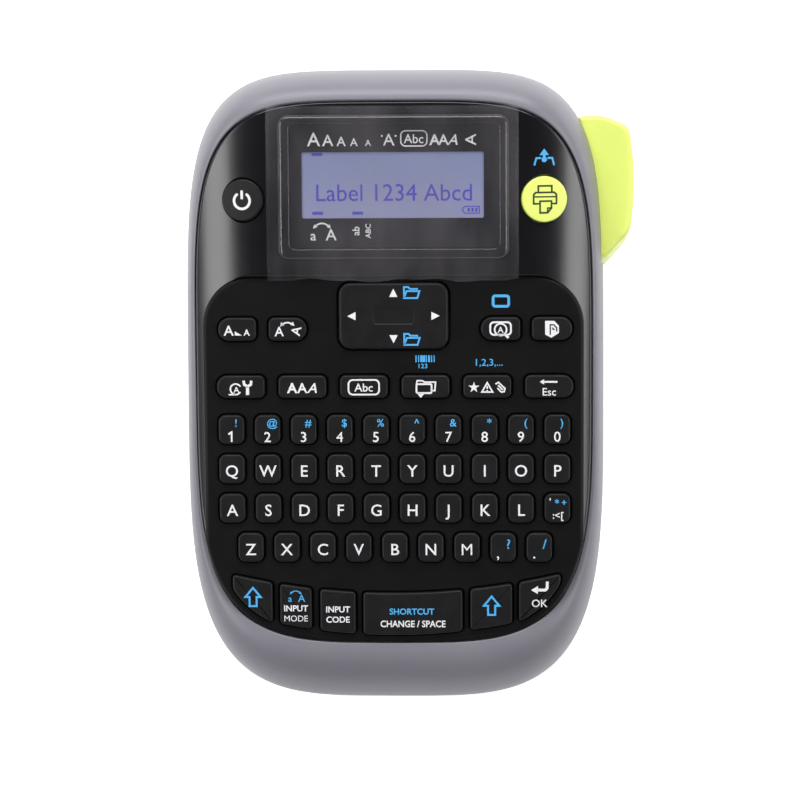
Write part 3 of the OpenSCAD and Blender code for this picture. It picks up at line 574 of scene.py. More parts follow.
def show(piece, body, material, replaces=(), angle=32, weighted=True, smooth=True):
    """Shades a finished piece, gives it its material, ties it to its body and hides the nodes it stands for
    """
    mesh = piece.data
    mesh.materials.clear()
    for one in material if isinstance(material, (list, tuple)) else [material]:
        mesh.materials.append(one)
    if smooth:
        mesh.shade_smooth()
        mesh.set_sharp_from_angle(angle=radians(angle))
    else:
        mesh.shade_flat()
    if smooth and weighted:
        normals = piece.modifiers.new("Even normals", "WEIGHTED_NORMAL")
        normals.mode = "FACE_AREA"
        normals.weight = 100
        normals.keep_sharp = True
    if replaces:
        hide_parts(*replaces)
    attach(piece, body)
    return piece


# ---------------------------------------------------------------- finishes

def node(tree, kind, links=(), **values):
    """Shader or geometry node; a value sets a property or a socket, a link joins an output to it"""
    made = tree.nodes.new(kind)
    for name, value in values.items():
        if hasattr(made, name):
            setattr(made, name, value)
        else:
            made.inputs[name.replace("_", " ")].default_value = value
    for name, source in links:
        tree.links.new(source, made.inputs[name])
    return made


def maths(tree, operation, *values):
    """Output of a math node over numbers and other nodes' outputs"""
    made = node(tree, "ShaderNodeMath", operation=operation)
    for socket, value in zip(made.inputs, values):
        if isinstance(value, bpy.types.NodeSocket):
            tree.links.new(value, socket)
        else:
            socket.default_value = value
    return made.outputs[0]


def map_range(tree, value, start, end, low, high):
    """Value spread so that start to end becomes low to high"""
    made = node(tree, "ShaderNodeMapRange", [("Value", value)], From_Min=start, From_Max=end,
                To_Min=low, To_Max=high)
    return made.outputs["Result"]


def ramp(tree, value, first, last, start=0, end=1):
    """Colours that blend from first to last as the value goes from start to end"""
    made = node(tree, "ShaderNodeValToRGB", [("Fac", value)])
    for element, spot, shade in zip(made.color_ramp.elements, (start, end), (first, last)):
        element.position = spot
        element.color = shade
    return made.outputs["Color"]


def object_place(tree):
    """Place on the piece, for patterns"""
    return node(tree, "ShaderNodeTexCoord").outputs["Object"]


def noise(tree, place, scale, detail):
    """Value of a noise pattern"""
    made = node(tree, "ShaderNodeTexNoise", [("Vector", place)], Scale=scale, Detail=detail)
    return made.outputs["Fac"]


def finish(name, base, rough, metallic=0.0, grain=0.35, depth=0.02, vary=0.06, drift=9.0,
           spread=0.05, **sockets):
    """Procedural material: fine grain, slow drift of colour and uneven gloss.
    grain and drift are pattern sizes and depth the grain's height, in millimetres"""
    made = bpy.data.materials.get(name)
    if made:
        return made
    made = bpy.data.materials.new(name)
    made.use_nodes = True
    tree = made.node_tree
    shader = tree.nodes["Principled BSDF"]
    place = object_place(tree)
    slow = noise(tree, place, 1 / (drift * MM), 3.0)
    fine = noise(tree, place, 1 / (grain * MM), 2.0)
    dark = tuple(c * (1 - vary) for c in base) + (1,)
    pale = tuple(min(1, c * (1 + vary)) for c in base) + (1,)
    gloss = map_range(tree, slow, 0, 1, max(0.02, rough - spread), min(1, rough + spread))
    bump = node(tree, "ShaderNodeBump", [("Height", fine)], Distance=depth * MM, Strength=0.6)
    tree.links.new(ramp(tree, slow, dark, pale, 0.3, 0.7), shader.inputs["Base Color"])
    tree.links.new(gloss, shader.inputs["Roughness"])
    tree.links.new(bump.outputs["Normal"], shader.inputs["Normal"])
    shader.inputs["Metallic"].default_value = metallic
    for socket, value in sockets.items():
        shader.inputs[socket.replace("_", " ")].default_value = value
    return made


def see_through(name, base, rough, alpha, streak=0.0, stretch=(1, 1, 1)):
    """Thin clear sheet: haze that is a little uneven, streaked along one way where it is stretched. On the
    film this grey haze is partly its own haze and partly painted reflection.
    """
    made = finish(name, base, rough, depth=0.004, grain=2.5, vary=0.1, IOR=1.5)
    tree = made.node_tree
    shader = tree.nodes["Principled BSDF"]
    lay = node(tree, "ShaderNodeMapping", [("Vector", object_place(tree))], Scale=stretch)
    wisps = noise(tree, lay.outputs["Vector"], 60.0, 3.0)
    haze_and_reflection = map_range(tree, wisps, 0.35, 0.75, alpha, alpha + streak)
    tree.links.new(haze_and_reflection, shader.inputs["Alpha"])
    return made


def case_grey():
    return finish("Body grey", colour("case_grey"), 0.42, grain=0.3, depth=0.012, vary=0.03, drift=14)


def panel_black():
    return finish("Panel black", colour("panel_black"), 0.22, grain=0.45, depth=0.004, vary=0.1,
                  spread=0.02)


def deck_black():
    return finish("Deck black", colour("deck_black"), 0.5, grain=0.3, depth=0.012, vary=0.12,
                  Specular_IOR_Level=0.16)


def key_black():
    return finish("Key black", colour("key_black"), 0.46, grain=0.25, depth=0.012, vary=0.14,
                  drift=5, Specular_IOR_Level=0.22)


def frame_black():
    return finish("Frame black", (0.005, 0.005, 0.006), 0.16, grain=0.8, depth=0.002, spread=0.02)


def lime():
    return finish("Lime", colour("lime"), 0.38, grain=0.35, depth=0.01, vary=0.025, drift=12,
                  Subsurface_Weight=0.05)


def white_ink():
    return finish("White ink", colour("white_ink"), 0.5, depth=0.004, grain=0.12, vary=0.03, drift=1.5)


def blue_ink():
    return finish("Blue ink", colour("blue_ink"), 0.5, depth=0.004, grain=0.12, vary=0.05, drift=1.5)


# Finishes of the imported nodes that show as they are: colour, roughness, metallic, grain, vary
PLAIN_FINISHES = {
    "board_green": ((0.02, 0.16, 0.06), 0.35, 0, 0.5, 0.25, ["main_board"]),
    "mat_rubber": ((0.17, 0.17, 0.18), 0.75, 0, 0.4, 0.08, ["keypad_mat"]),
    "frame_plastic": ((0.03, 0.03, 0.033), 0.5, 0, 0.4, 0.1, ["mid_frame"]),
    "inlet_black": ((0.012, 0.012, 0.012), 0.3, 0, 0.5, 0.1, ["dc_jack"]),
    "head_metal": ((0.62, 0.62, 0.64), 0.3, 1, 0.2, 0.08, ["print_head", "drive_motor"]),
    "roller_rubber": ((0.025, 0.025, 0.027), 0.8, 0, 0.25, 0.15, ["platen_roller"]),
    "steel": ((0.6, 0.6, 0.61), 0.26, 1, 0.15, 0.06,
              ["platen_shaft", "cutter_blade", "fixed_blade", "lever_pin", "nav_pivot"]),
    "gear_white": ((0.74, 0.71, 0.62), 0.42, 0, 0.5, 0.04,
                   ["platen_gear", "idler_gear", "ribbon_spindle"]),
    "brass": ((0.66, 0.47, 0.18), 0.28, 1, 0.2, 0.08, ["motor_pinion"]),
    "cartridge_clear": ((0.66, 0.66, 0.68), 0.4, 0, 0.5, 0.04, ["cartridge_case"]),
    "tape_white": ((0.8, 0.8, 0.77), 0.55, 0, 0.3, 0.03, ["tape_spool", "label_tape"]),
    "ribbon_black": ((0.015, 0.015, 0.016), 0.35, 0, 0.3, 0.2,
                     ["ribbon_supply_spool", "ribbon_takeup_spool"]),
    "contact_metal": ((0.66, 0.65, 0.62), 0.24, 1, 0.2, 0.06, ["battery_plates"]),
}


def plain(slot):
    base, rough, metallic, grain, vary, _ = PLAIN_FINISHES[slot]
    return finish(slot.replace("_", " ").capitalize(), base, rough, metallic, grain, vary=vary)


# ---------------------------------------------------------------- repeated pieces

def tree_with(name, sockets):
    """Empty geometry tree with named inputs and a geometry input and output"""
    tree = bpy.data.node_groups.new(name, "GeometryNodeTree")
    tree.interface.new_socket("Geometry", in_out="INPUT", socket_type="NodeSocketGeometry")
    for label, kind in sockets:
        tree.interface.new_socket(label, in_out="INPUT", socket_type="NodeSocket" + kind)
    tree.interface.new_socket("Geometry", in_out="OUTPUT", socket_type="NodeSocketGeometry")
    return tree, node(tree, "NodeGroupInput").outputs


def close_tree(tree, geometry, given):
    """Ends a tree in real geometry with its material"""
    real = node(tree, "GeometryNodeRealizeInstances", [("Geometry", geometry)])
    coated = node(tree, "GeometryNodeSetMaterial", [("Geometry", real.outputs[0]),
                                                    ("Material", given["Material"])])
    node(tree, "NodeGroupOutput", [("Geometry", coated.outputs[0])])
    return tree


def row_tree():
    """Copies of one piece in a centred row along X"""
    tree, given = tree_with("Row of copies", [("Piece", "Object"), ("Count", "Int"),
                                              ("Pitch", "Float"), ("Material", "Material")])
    gaps = maths(tree, "SUBTRACT", given["Count"], 1)
    span = maths(tree, "MULTIPLY", gaps, given["Pitch"])
    start = node(tree, "ShaderNodeCombineXYZ", [("X", maths(tree, "MULTIPLY", span, -0.5))])
    step = node(tree, "ShaderNodeCombineXYZ", [("X", given["Pitch"])])
    line = node(tree, "GeometryNodeMeshLine", [("Count", given["Count"]), ("Offset", step.outputs[0]),
                                               ("Start Location", start.outputs[0])])
    piece = node(tree, "GeometryNodeObjectInfo", [("Object", given["Piece"])])
    copies = node(tree, "GeometryNodeInstanceOnPoints", [("Points", line.outputs[0]),
                                                         ("Instance", piece.outputs["Geometry"])])
    return close_tree(tree, copies.outputs[0], given)


def place_tree():
    """Copies of one piece at the object's own points"""
    tree, given = tree_with("Copies at points", [("Piece", "Object"), ("Material", "Material")])
    piece = node(tree, "GeometryNodeObjectInfo", [("Object", given["Piece"])])
    copies = node(tree, "GeometryNodeInstanceOnPoints", [("Points", given["Geometry"]),
                                                         ("Instance", piece.outputs["Geometry"])])
    return close_tree(tree, copies.outputs[0], given)


def coil_tree():
    """Coil spring along Z: a wire swept along a spiral"""
    tree, given = tree_with("Coil spring", [("Turns", "Float"), ("Low radius", "Float"),
                                            ("High radius", "Float"), ("Height", "Float"),
                                            ("Wire radius", "Float"), ("Material", "Material")])
    path = node(tree, "GeometryNodeCurveSpiral", [("Rotations", given["Turns"]),
                                                  ("Start Radius", given["Low radius"]),
                                                  ("End Radius", given["High radius"]),
                                                  ("Height", given["Height"])], Resolution=36)
    wire = node(tree, "GeometryNodeCurvePrimitiveCircle", [("Radius", given["Wire radius"])],
                Resolution=12)
    swept = node(tree, "GeometryNodeCurveToMesh", [("Curve", path.outputs[0]),
                                                   ("Profile Curve", wire.outputs[0])])
    swept.inputs["Fill Caps"].default_value = True
    return close_tree(tree, swept.outputs[0], given)


def grow_from(tree, name, points, **values):
    """Mesh made by a geometry tree, as a plain object"""
    piece = new_piece(name, points, [])
    made = piece.modifiers.new(tree.name, "NODES")
    made.node_group = tree
    for item in tree.interface.items_tree:
        if item.in_out == "INPUT" and item.name.replace(" ", "_") in values:
            made[item.identifier] = values[item.name.replace(" ", "_")]
    return settle(piece)


def named_tree(make):
    """The geometry tree that make builds, built once"""
    title = {"row_tree": "Row of copies", "place_tree": "Copies at points", "coil_tree": "Coil spring"}
    return bpy.data.node_groups.get(title[make.__name__]) or make()


def moved(piece, matrix):
    """Puts a piece's place into its mesh"""
    piece.data.transform(matrix)
    piece.data.update()
    return piece


def face_matrix(u=0, v=0, w=0):
    """From a place on the tilted face, in its own directions, to the case"""
    return Matrix.Translation(on_face(u, v, w) * MM) @ Matrix.Rotation(TILT, 4, "X")


# ---------------------------------------------------------------- print

class Ink:
    """Flat printed shapes around a place on one surface: words, lines and patches"""

    def __init__(self, at=(0, 0)):
        self.at = Vector(at)
        self.points = []
        self.faces = []

    def add(self, points, faces):
        start = len(self.points)
        self.points += [tuple(self.at + Vector(p[:2])) for p in points]
        self.faces += [tuple(start + i for i in face) for face in faces]

    def patch(self, outline):
        self.add(outline, [range(len(outline))])

    def line(self, path, width=None, closed=False):
        """Line of even width with mitred corners"""
        width = width or size("ink_line")
        count = len(path)
        sides = []
        for i, point in enumerate(path):
            here = Vector(point)
            a = here - Vector(path[i - 1]) if i or closed else None
            b = Vector(path[(i + 1) % count]) - here if i < count - 1 or closed else None
            a = (a or b).normalized()
            b = (b or a).normalized()
            across = Vector((-a.y - b.y, a.x + b.x)).normalized()
            reach = max(0.4, across.dot(Vector((-a.y, a.x))))
            sides += [here - across * width / 2 / reach, here + across * width / 2 / reach]
        ends = [(2 * i, 2 * ((i + 1) % count)) for i in range(count if closed else count - 1)]
        self.add(sides, [(a, b, b + 1, a + 1) for a, b in ends])

    def box(self, at, w, l, r, width=None):
        self.line(rectangle(at, w, l, r, steps=5), width, closed=True)

    def disc(self, at, r):
        self.patch(round_outline(at, r, 20))

    def arc(self, at, r, start, end, width=None, squash=1.0, steps=14):
        """Part of a circle, angles in degrees"""
        turns = [radians(start + (end - start) * k / steps) for k in range(steps + 1)]
        self.line([(at[0] + r * cos(a), at[1] + squash * r * sin(a)) for a in turns], width)

    def arrow_head(self, tip, direction, tall, width):
        """Filled triangle pointing in a direction, in degrees"""
        ahead = Vector((cos(radians(direction)), sin(radians(direction))))
        across = Vector((-ahead.y, ahead.x)) * width / 2
        foot = Vector(tip) - ahead * tall
        self.patch([foot + across, tip, foot - across])

    def write(self, text, at, height, turn=0, slant=0.0, bold=0.0, stretch=1.0):
        """Words centred on a place, with capitals of that height"""
        curve = bpy.data.curves.new("words", "FONT")
        curve.body = text
        curve.size = height / CAPITAL
        curve.align_x = "CENTER"
        curve.shear = slant
        curve.offset = 0 if set(text) & set(THIN_ONLY) else bold
        curve.resolution_u = 3
        words = add_object("words", curve)
        graph = bpy.context.evaluated_depsgraph_get()
        mesh = words.evaluated_get(graph).to_mesh()
        spin = Matrix.Rotation(radians(turn), 2)
        flat = [Vector((vertex.co.x * stretch, vertex.co.y - height / 2)) for vertex in mesh.vertices]
        self.add([Vector(at) + spin @ spot for spot in flat], [face.vertices for face in mesh.polygons])
        words.evaluated_get(graph).to_mesh_clear()
        bpy.data.objects.remove(words)
        bpy.data.curves.remove(curve)

    def print_on(self, name, body, slot, material, place):
        """Ink as a thin solid on the surface that place(u, v) gives"""
        low = [place(u, v) for u, v in self.points]
        high = [p + outward(place, *flat) * size("ink") for p, flat in zip(low, self.points)]
        count = len(low)
        faces = []
        edges = set()
        for face in self.faces:
            ring = [self.points[i] for i in face]
            area = sum(a[0] * b[1] - b[0] * a[1] for a, b in zip(ring, ring[1:] + ring[:1]))
            if abs(area) < 1e-5:
                continue
            face = face if area > 0 else face[::-1]
            faces.append(tuple(count + i for i in face))
            faces.append(face[::-1])
            edges.update(zip(face, face[1:] + face[:1]))
        faces += [(a, b, count + b, count + a) for a, b in sorted(edges) if (b, a) not in edges]
        return show(new_piece(name, low + high, faces), body, material, smooth=False)


def outward(place, u, v):
    """Direction out of the surface that place gives"""
    here = place(u, v)
    return (place(u + 0.01, v) - here).cross(place(u, v + 0.01) - here).normalized()


def at_height(w):
    """Placing on the tilted face at a height"""
    return lambda u, v: on_face(u, v, w)


def folder(ink, at, s=1.0):
    """Open folder"""
    x, y = at
    line = size("ink_line") * 1.15
    back = [(-2, -1.5), (-2, 1.5), (-0.8, 1.5), (-0.4, 1.0), (1.5, 1.0), (1.5, 0.4)]
    ink.line([(x + a * s, y + b * s) for a, b in back], line)
    front = [(-2, -1.5), (-1.3, 0.4), (2.2, 0.4), (1.6, -1.5)]
    ink.line([(x + a * s, y + b * s) for a, b in front], line, closed=True)


def shift_arrow(ink):
    """Outlined arrow pointing up"""
    path = [(-1, -2.5), (1, -2.5), (1, 0.1), (2.15, 0.1), (0, 2.7), (-2.15, 0.1), (-1, 0.1)]
    ink.line(path, 0.55, closed=True)


def case_swap(ink, at, s=1.0):
    """Small a and capital A under a two-headed arc"""
    x, y = at
    ink.write("a", (x - 1.95 * s, y - 0.9 * s), 2.3 * s, bold=0.02)
    ink.write("A", (x + 2.0 * s, y - 0.75 * s), 2.6 * s, bold=0.02)
    ink.arc((x, y - 0.2 * s), 1.9 * s, 42, 138, 0.35 * s)
    ink.arrow_head((x - 2.0 * s, y + 0.55 * s), 225, 0.9 * s, 0.9 * s)
    ink.arrow_head((x + 2.0 * s, y + 0.55 * s), -45, 0.9 * s, 0.9 * s)


def settings_icon(ink, line):
    """A in an open ring, beside a forked tool"""
    ink.arc((-1.4, -0.4), 1.5, 30, 330, line)
    ink.write("A", (-1.2, -0.5), 1.7, bold=0.03)
    ink.line([(-3.4, -1.9), (-1.6, -1.9)], line)
    ink.line([(1.9, -2.0), (1.9, 0.4)], line * 2.1)
    ink.line([(0.8, 2.0), (1.0, 0.9), (1.9, 0.4), (2.8, 0.9), (3.0, 2.0)], line * 1.7)


def style_icon(ink, line):
    """Bold, medium and slanted A"""
    ink.write("A", (-2.8, 0), 2.85, bold=0.1)
    ink.write("A", (0, 0), 2.85, bold=0.07)
    ink.write("A", (2.7, 0), 2.85, slant=0.3, bold=0.04)


def frame_icon(ink, line):
    """Word in a rounded frame"""
    ink.box((0, 0.1), 8.5, 4.1, 1.2, line * 1.1)
    ink.write("Abc", (0, 0.1), 2.35, bold=0.03)


def file_icon(ink, line):
    """Folder with an arrow into it"""
    ink.box((-0.4, -0.3), 4.2, 2.5, 0.4, line * 1.2)
    back = [(-2.5, 0.9), (-2.3, 1.9), (-0.8, 1.9), (-0.3, 1.5), (2.8, 1.5), (2.6, -0.9), (1.7, -0.9)]
    ink.line(back, line)
    ink.arrow_head((-1.3, -2.9), -90, 1.3, 2.2)


def symbol_icon(ink, line):
    """Star, warning sign and pencil"""
    turns = [pi / 2 + pi / 5 * k for k in range(10)]
    radii = [1.6 if k % 2 == 0 else 0.62 for k in range(10)]
    ink.patch([(-3.7 + r * cos(a), r * sin(a)) for r, a in zip(radii, turns)])
    ink.line([(-1.5, -1.3), (1.5, -1.3), (0, 1.3)], line, closed=True)
    ink.line([(0, 0.4), (0, -0.4)], line)
    ink.disc((0, -0.85), 0.2)
    ink.line([(2.3, 0.9), (3.1, 1.4), (4.9, -0.3), (4.7, -1.2), (3.9, -1.3), (2.8, -0.2)], line)
    ink.line([(3.0, 0.6), (4.3, -0.7)], line)


def escape_icon(ink, line):
    """Arrow back over the word"""
    ink.write("Esc", (0, -1.2), 2.2, bold=0.02)
    ink.line([(-1.6, 1.5), (2.3, 1.5)], line * 1.2)
    ink.arrow_head((-2.6, 1.5), 180, 1.2, 1.5)


def size_icon(ink, line):
    """Large A, a wedge and a small A"""
    ink.write("A", (-2.3, 0), 2.9, bold=0.05)
    ink.patch([(-0.6, -1.45), (1.4, -1.45), (-0.6, -0.3)])
    ink.write("A", (2.7, -0.6), 1.75, bold=0.05)


def rotate_icon(ink, line):
    """Upright and fallen A under a two-headed arc"""
    ink.write("A", (-2.3, -0.3), 2.7, bold=0.04)
    ink.write("A", (2.3, -0.2), 2.7, turn=78, bold=0.04)
    ink.arc((0, -0.1), 2.2, 50, 140, line)
    ink.arrow_head((-2.0, 1.0), 230, 1.1, 1.2)
    ink.arrow_head((2.0, 1.2), -40, 1.1, 1.2)


def preview_icon(ink, line):
    """Framed A under a magnifying glass"""
    ink.box((0, 0.3), 5.7, 3.5, 1.0, line * 1.2)
    ink.line(round_outline((0, 0), 1.65, 24), line * 1.1, closed=True)
    ink.line([(1.1, -1.3), (2.2, -2.3)], line * 1.6)
    ink.write("A", (0, 0), 1.7, bold=0.04)


def copy_icon(ink, line):
    """Filled sheet"""
    ink.patch([(-1.9, -1.4), (-0.2, -2.3), (1.9, -1.0), (1.9, 1.0), (0.6, 2.4), (-1.9, 2.4)])


def sheet_gap(ink):
    """Lines left open in the filled sheet"""
    ink.line([(-0.5, -1.5), (-0.5, 1.3), (0.5, 1.3), (1.3, 0.4), (1.3, -0.6)], 0.35)
    ink.patch([(0.1, -0.1), (0.9, -0.1), (0.1, 0.7)])


KEY_ICONS = {"settings_key": settings_icon, "style_key": style_icon, "frame_key": frame_icon,
             "file_key": file_icon, "symbol_key": symbol_icon, "escape_key": escape_icon,
             "size_key": size_icon, "rotate_key": rotate_icon, "preview_key": preview_icon,
             "copy_key": copy_icon}


# ---------------------------------------------------------------- operators

class Maker:
    """What every operator here shares"""
    bl_options = {"REGISTER", "UNDO"}

    def execute(self, context):
        self.make()
        return {"FINISHED"}


class LABELMAKER_OT_finishes(Maker, bpy.types.Operator):
    """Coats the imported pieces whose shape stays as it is"""
    bl_idname = "labelmaker.finishes"
    bl_label = "Coat the packed pieces"

    def make(self):
        for slot, row in PLAIN_FINISHES.items():
            for name in row[-1]:
                coat(name, plain(slot))


def door_outline(x0, x1, y0, y1, far_round):
    """Opening of a cover: round corners at its free edge and square ones at its hinge"""
    near, far = (0, DOOR_R) if far_round else (DOOR_R, 0)
    return soften([(x0, y0, near), (x1, y0, near), (x1, y1, far), (x0, y1, far)])


class LABELMAKER_OT_shells(Maker, bpy.types.Operator):
    """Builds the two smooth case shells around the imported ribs, posts and bay"""
    bl_idname = "labelmaker.shells"
    bl_label = "Case shells"

    def make(self):
        self.rear()
        self.front()

    def rear(self):
        edge = size("seam_edge")
        reach = BASE_INSET - FLANK_INSET
        flank = [(FLANK_INSET + reach * (1 - sin(turn)), FLANK_Z * (1 - cos(turn))) for turn in quarter(8)]
        flank.append((FLANK_INSET * 0.75, FLANK_Z + 2.5))
        rings = [self.level(inset, z) for inset, z in flank]
        rings += [self.under_seam(edge * (1 - cos(turn)), SEAM_GAP + edge - edge * sin(turn))
                  for turn in quarter(3)]
        rings.append(self.under_seam(SKIN_T, SEAM_GAP))
        rings.append(self.level(FLANK_INSET + SKIN_T, FLANK_Z))
        rings.append(self.level(BASE_INSET + SKIN_T, SKIN_T))
        shell = loft("rear_shell_case", rings)
        core = loft("core", [self.level(BASE_INSET + 0.4, 0.5), self.level(FLANK_INSET + 0.6, FLANK_Z),
                             self.under_seam(0.6, 0.4)])
        inside = carve(copy_of("rear_shell"), core, how="INTERSECT")
        carve(shell, *self.rear_holes())
        carve(shell, inside, how="UNION")
        show(shell, "root", case_grey(), ["rear_shell"])

    def level(self, inset, z):
        """Level ring inside the case outline"""
        return [(x, y, z) for x, y in case_outline(inset)]

    def under_seam(self, inset, down):
        """Ring inside the case outline that follows the sloping seam, down below it"""
        return [(x, y, seam(y) - down) for x, y in case_outline(inset)]

    def rear_holes(self):
        """Cutters of the doors, the lever window, the tape slot, the inlet and the screws"""
        battery = plan_rings(door_outline(*BATTERY_DOOR, False), [(0, -1), (0, FLOOR_T - 0.3)])
        cartridge = plan_rings(door_outline(*CARTRIDGE_DOOR, True), [(0, -1), (0, FLOOR_T)])
        inlet = rod("inlet", (0, 0), INLET_R, -8, 8)
        moved(inlet, Matrix.Translation(Vector(INLET_AT) * MM) @ Matrix.Rotation(pi / 2, 4, "Y"))
        return [loft("door", battery), loft("door", cartridge), block("window", *LEVER_WINDOW),
                block("slot", *TAPE_SLOT), inlet,
                *[rod("counterbore", at, COUNTERBORE_R, -1, 6) for at in SCREWS]]

    def front(self):
        edge = size("rim_edge")
        seam_edge = size("seam_edge")
        low = case_outline()
        high = panel_outline(-PANEL_GAP - edge)
        rings = [self.under_seam(seam_edge, -SEAM_GAP),
                 self.under_seam(seam_edge * 0.3, -SEAM_GAP - seam_edge * 0.3)]
        rings += [shoulder(radians(a), low, high, SEAM_GAP + seam_edge)
                  for a in (*range(0, 73, 6), 77, 82, 86, 90)]
        rings += [[rim(x, y, edge * (1 - cos(turn)))
                   for x, y in panel_outline(-PANEL_GAP - edge * (1 - sin(turn)))]
                  for turn in quarter(4)[1:]]
        rings.append([rim(x, y, RIM_T - 1) for x, y in panel_outline(-PANEL_GAP)])
        rings += [shoulder(radians(a), case_outline(SKIN_T), panel_outline(-PANEL_GAP), SEAM_GAP, RIM_T - 1)
                  for a in range(80, -1, -20)]
        shell = loft("front_shell_case", rings, looped=True)
        inner_low = case_outline(0.6)
        inner_high = panel_outline(-PANEL_GAP + 0.02)
        core = loft("core", [shoulder(radians(a), inner_low, inner_high, 0.5, 0.9)
                             for a in range(0, 91, 10)])
        inside = carve(copy_of("front_shell"), core, how="INTERSECT")
        carve(shell, block("window", *LEVER_WINDOW))
        carve(shell, inside, how="UNION")
        show(shell, "root", case_grey(), ["front_shell"])


def deck_outline():
    w = DECK_HALF_W
    return soften([(-w, -30), (w, -30), (w, DECK_FAR, DECK_R), (-w, DECK_FAR, DECK_R)], steps=24)


def typing_at(row, column):
    """Centre of a typing key"""
    count = ROW_COUNT[row]
    return TYPE_U + (column - (count - 1) / 2) * COLUMN, TYPE_V + row * ROW


def function_at(name):
    """Centre of a function key"""
    middle = (len(FUNCTION_KEYS) - 1) / 2
    return FUNC_AT[0] + (FUNCTION_KEYS.index(name) - middle) * FUNC_PITCH, FUNC_AT[1]


def key_outline(name):
    """Outline of one of the single keys above the typing rows"""
    if name in FUNCTION_KEYS:
        ends = [OUTER_R if name == FUNCTION_KEYS[end] else INNER_R for end in (0, -1)]
        return rectangle(function_at(name), *FUNC_SIZE, *ends)
    at, w, left, right = PAIRS[name]
    return rectangle((at, PAIR_V), w, PAIR_L, left, right)


def low_arcs(u):
    """Near and far edge of the bottom row at one place across"""
    return [centre - sqrt(r ** 2 - u * u) for centre, r in LOW_ARCS]


def low_outline(name):
    """Outline of a bottom row key: between two arcs and inside the panel's edge"""
    u0, u1 = LOW_ROW[name]
    steps = 8
    across = [u0 + (u1 - u0) * k / steps for k in range(steps + 1)]
    near = [(u, low_arcs(u)[0]) for u in across]
    far = [(u, low_arcs(u)[1]) for u in reversed(across)]
    fence = [(x, (y - FACE_Y) / cos(TILT)) for x, y in panel_outline(LOW_EDGE)]
    return eased(distinct(clip(near + far, fence)), 1.5)


def key_levels(top=KEY_TOP, edge=None):
    """Levels of a key cap: hidden flange, upright side and rounded top edge"""
    return [(FLANGE_LIP, FLANGE_W), (FLANGE_LIP, FLANGE_TOP), (0, FLANGE_TOP)] + top_edge(
        top, edge or size("key_edge"))


class LABELMAKER_OT_face_panel(Maker, bpy.types.Operator):
    """Builds the crowned face panel and the key deck, with every key's opening"""
    bl_idname = "labelmaker.face_panel"
    bl_label = "Face panel"

    def make(self):
        self.crown_part()
        self.deck_part()

    def hull(self, name, height):
        """Block with the panel's outline whose rim is rounded into the surface at height(x)"""
        edge = size("panel_edge")
        rings = [[above(x, y, SKIRT_W) for x, y in panel_outline()]]
        rings += [[above(x, y, height(x) - edge + edge * sin(turn))
                   for x, y in panel_outline(edge * (1 - cos(turn)))] for turn in quarter(5)]
        rings.append([above(x, y, height(x) + 0.4) for x, y in panel_outline(edge + 0.4)])
        rings.append([above(x, y, 8) for x, y in panel_outline(3)])
        return loft(name, rings)

    def crown_part(self):
        panel = self.hull("face_panel_crown", crown)
        carve(panel, self.arch(), how="INTERSECT")
        carve(panel, self.recess(deck_outline(), 0.6))
        carve(panel, self.screen_hole(0.35), self.button_hole(POWER_AT, POWER_R + BUTTON_GAP),
              self.button_hole(PRINT_AT, PRINT_R + BUTTON_GAP))
        show(panel, "root", panel_black(), ["face_panel"])

    def arch(self):
        """Sheet of even depth under the crowned surface"""
        steps = 40
        lean = asin((PANEL_HALF_W + 4 - CROWN_FLAT) / CROWN_R)
        across = [CROWN_FLAT + CROWN_R * sin(lean * k / steps) for k in range(steps + 1)]
        top = [(u, crown(u)) for u in reversed(across)] + [(-u, crown(u)) for u in across]
        under = [(u, w - PANEL_T - 1.5) for u, w in reversed(top)]
        return loft("arch", [[on_face(u, v, w) for u, w in under + top] for v in (175, -25)])

    def recess(self, outline, flare):
        """Cutter of the deck's place in the crown, which rounds the crown's edge as far as it is high"""
        rings = [[on_face(u, v, -25) for u, v in outline]]
        ahead = grown(outline, 1)
        for turn in quarter(5):
            ring = []
            for (u, v), (u1, v1) in zip(outline, ahead):
                r = max(0.03, min(flare, crown(u)))
                out = r * (1 - cos(turn))
                a = u + (u1 - u) * out
                b = v + (v1 - v) * out
                ring.append(on_face(a, b, crown(a) - r + r * sin(turn)))
            rings.append(ring)
        rings.append([on_face(u, v, 9) for u, v in grown(outline, flare)])
        return loft("recess", rings)

    def deck_part(self):
        deck = self.hull("face_panel_deck", lambda x: 0)
        recess = deck_outline()
        plate = loft("plate", face_rings(recess, [(0, SKIRT_W)] + top_edge(0, size("deck_edge"), hold=0.5)))
        carve(deck, plate, how="INTERSECT")
        hollow = loft("hollow", face_rings(grown(recess, -SKIRT_T), [(0, -30), (0, -PANEL_T)]))
        carve(deck, hollow)
        outlines = [rectangle(typing_at(row, column), *KEY_SIZE, KEY_R, steps=6)
                    for row, _ in TYPING_ROWS.values() for column in range(ROW_COUNT[row])]
        outlines += [key_outline(name) for name in (*FUNCTION_KEYS, *PAIRS)]
        outlines += [low_outline(name) for name in LOW_ROW]
        holes = [face_rings(grown(outline, KEY_GAP), flared(-5, 6, 0.3)) for outline in outlines]
        holes.append(face_rings(grown(nav_outline(), 0.45), flared(-5, 6, 0.3)))
        carve(deck, lofts("key holes", holes))
        show(deck, "root", deck_black(), ["face_panel"])

    def screen_hole(self, flare):
        levels = [(growth, w + DECK_RISE) for growth, w in flared(-8, 8, flare)]
        return loft("screen hole", face_rings(rectangle(SCREEN_AT, *SCREEN_HOLE, 3.25), levels))

    def button_hole(self, at, r):
        hole = loft("button hole", plan_rings(round_outline((0, 0), r), flared(-9, 8, 0.35)))
        return moved(hole, button_matrix(at))


def nav_outline():
    return rectangle(NAV_AT, *NAV_SIZE, NAV_R)


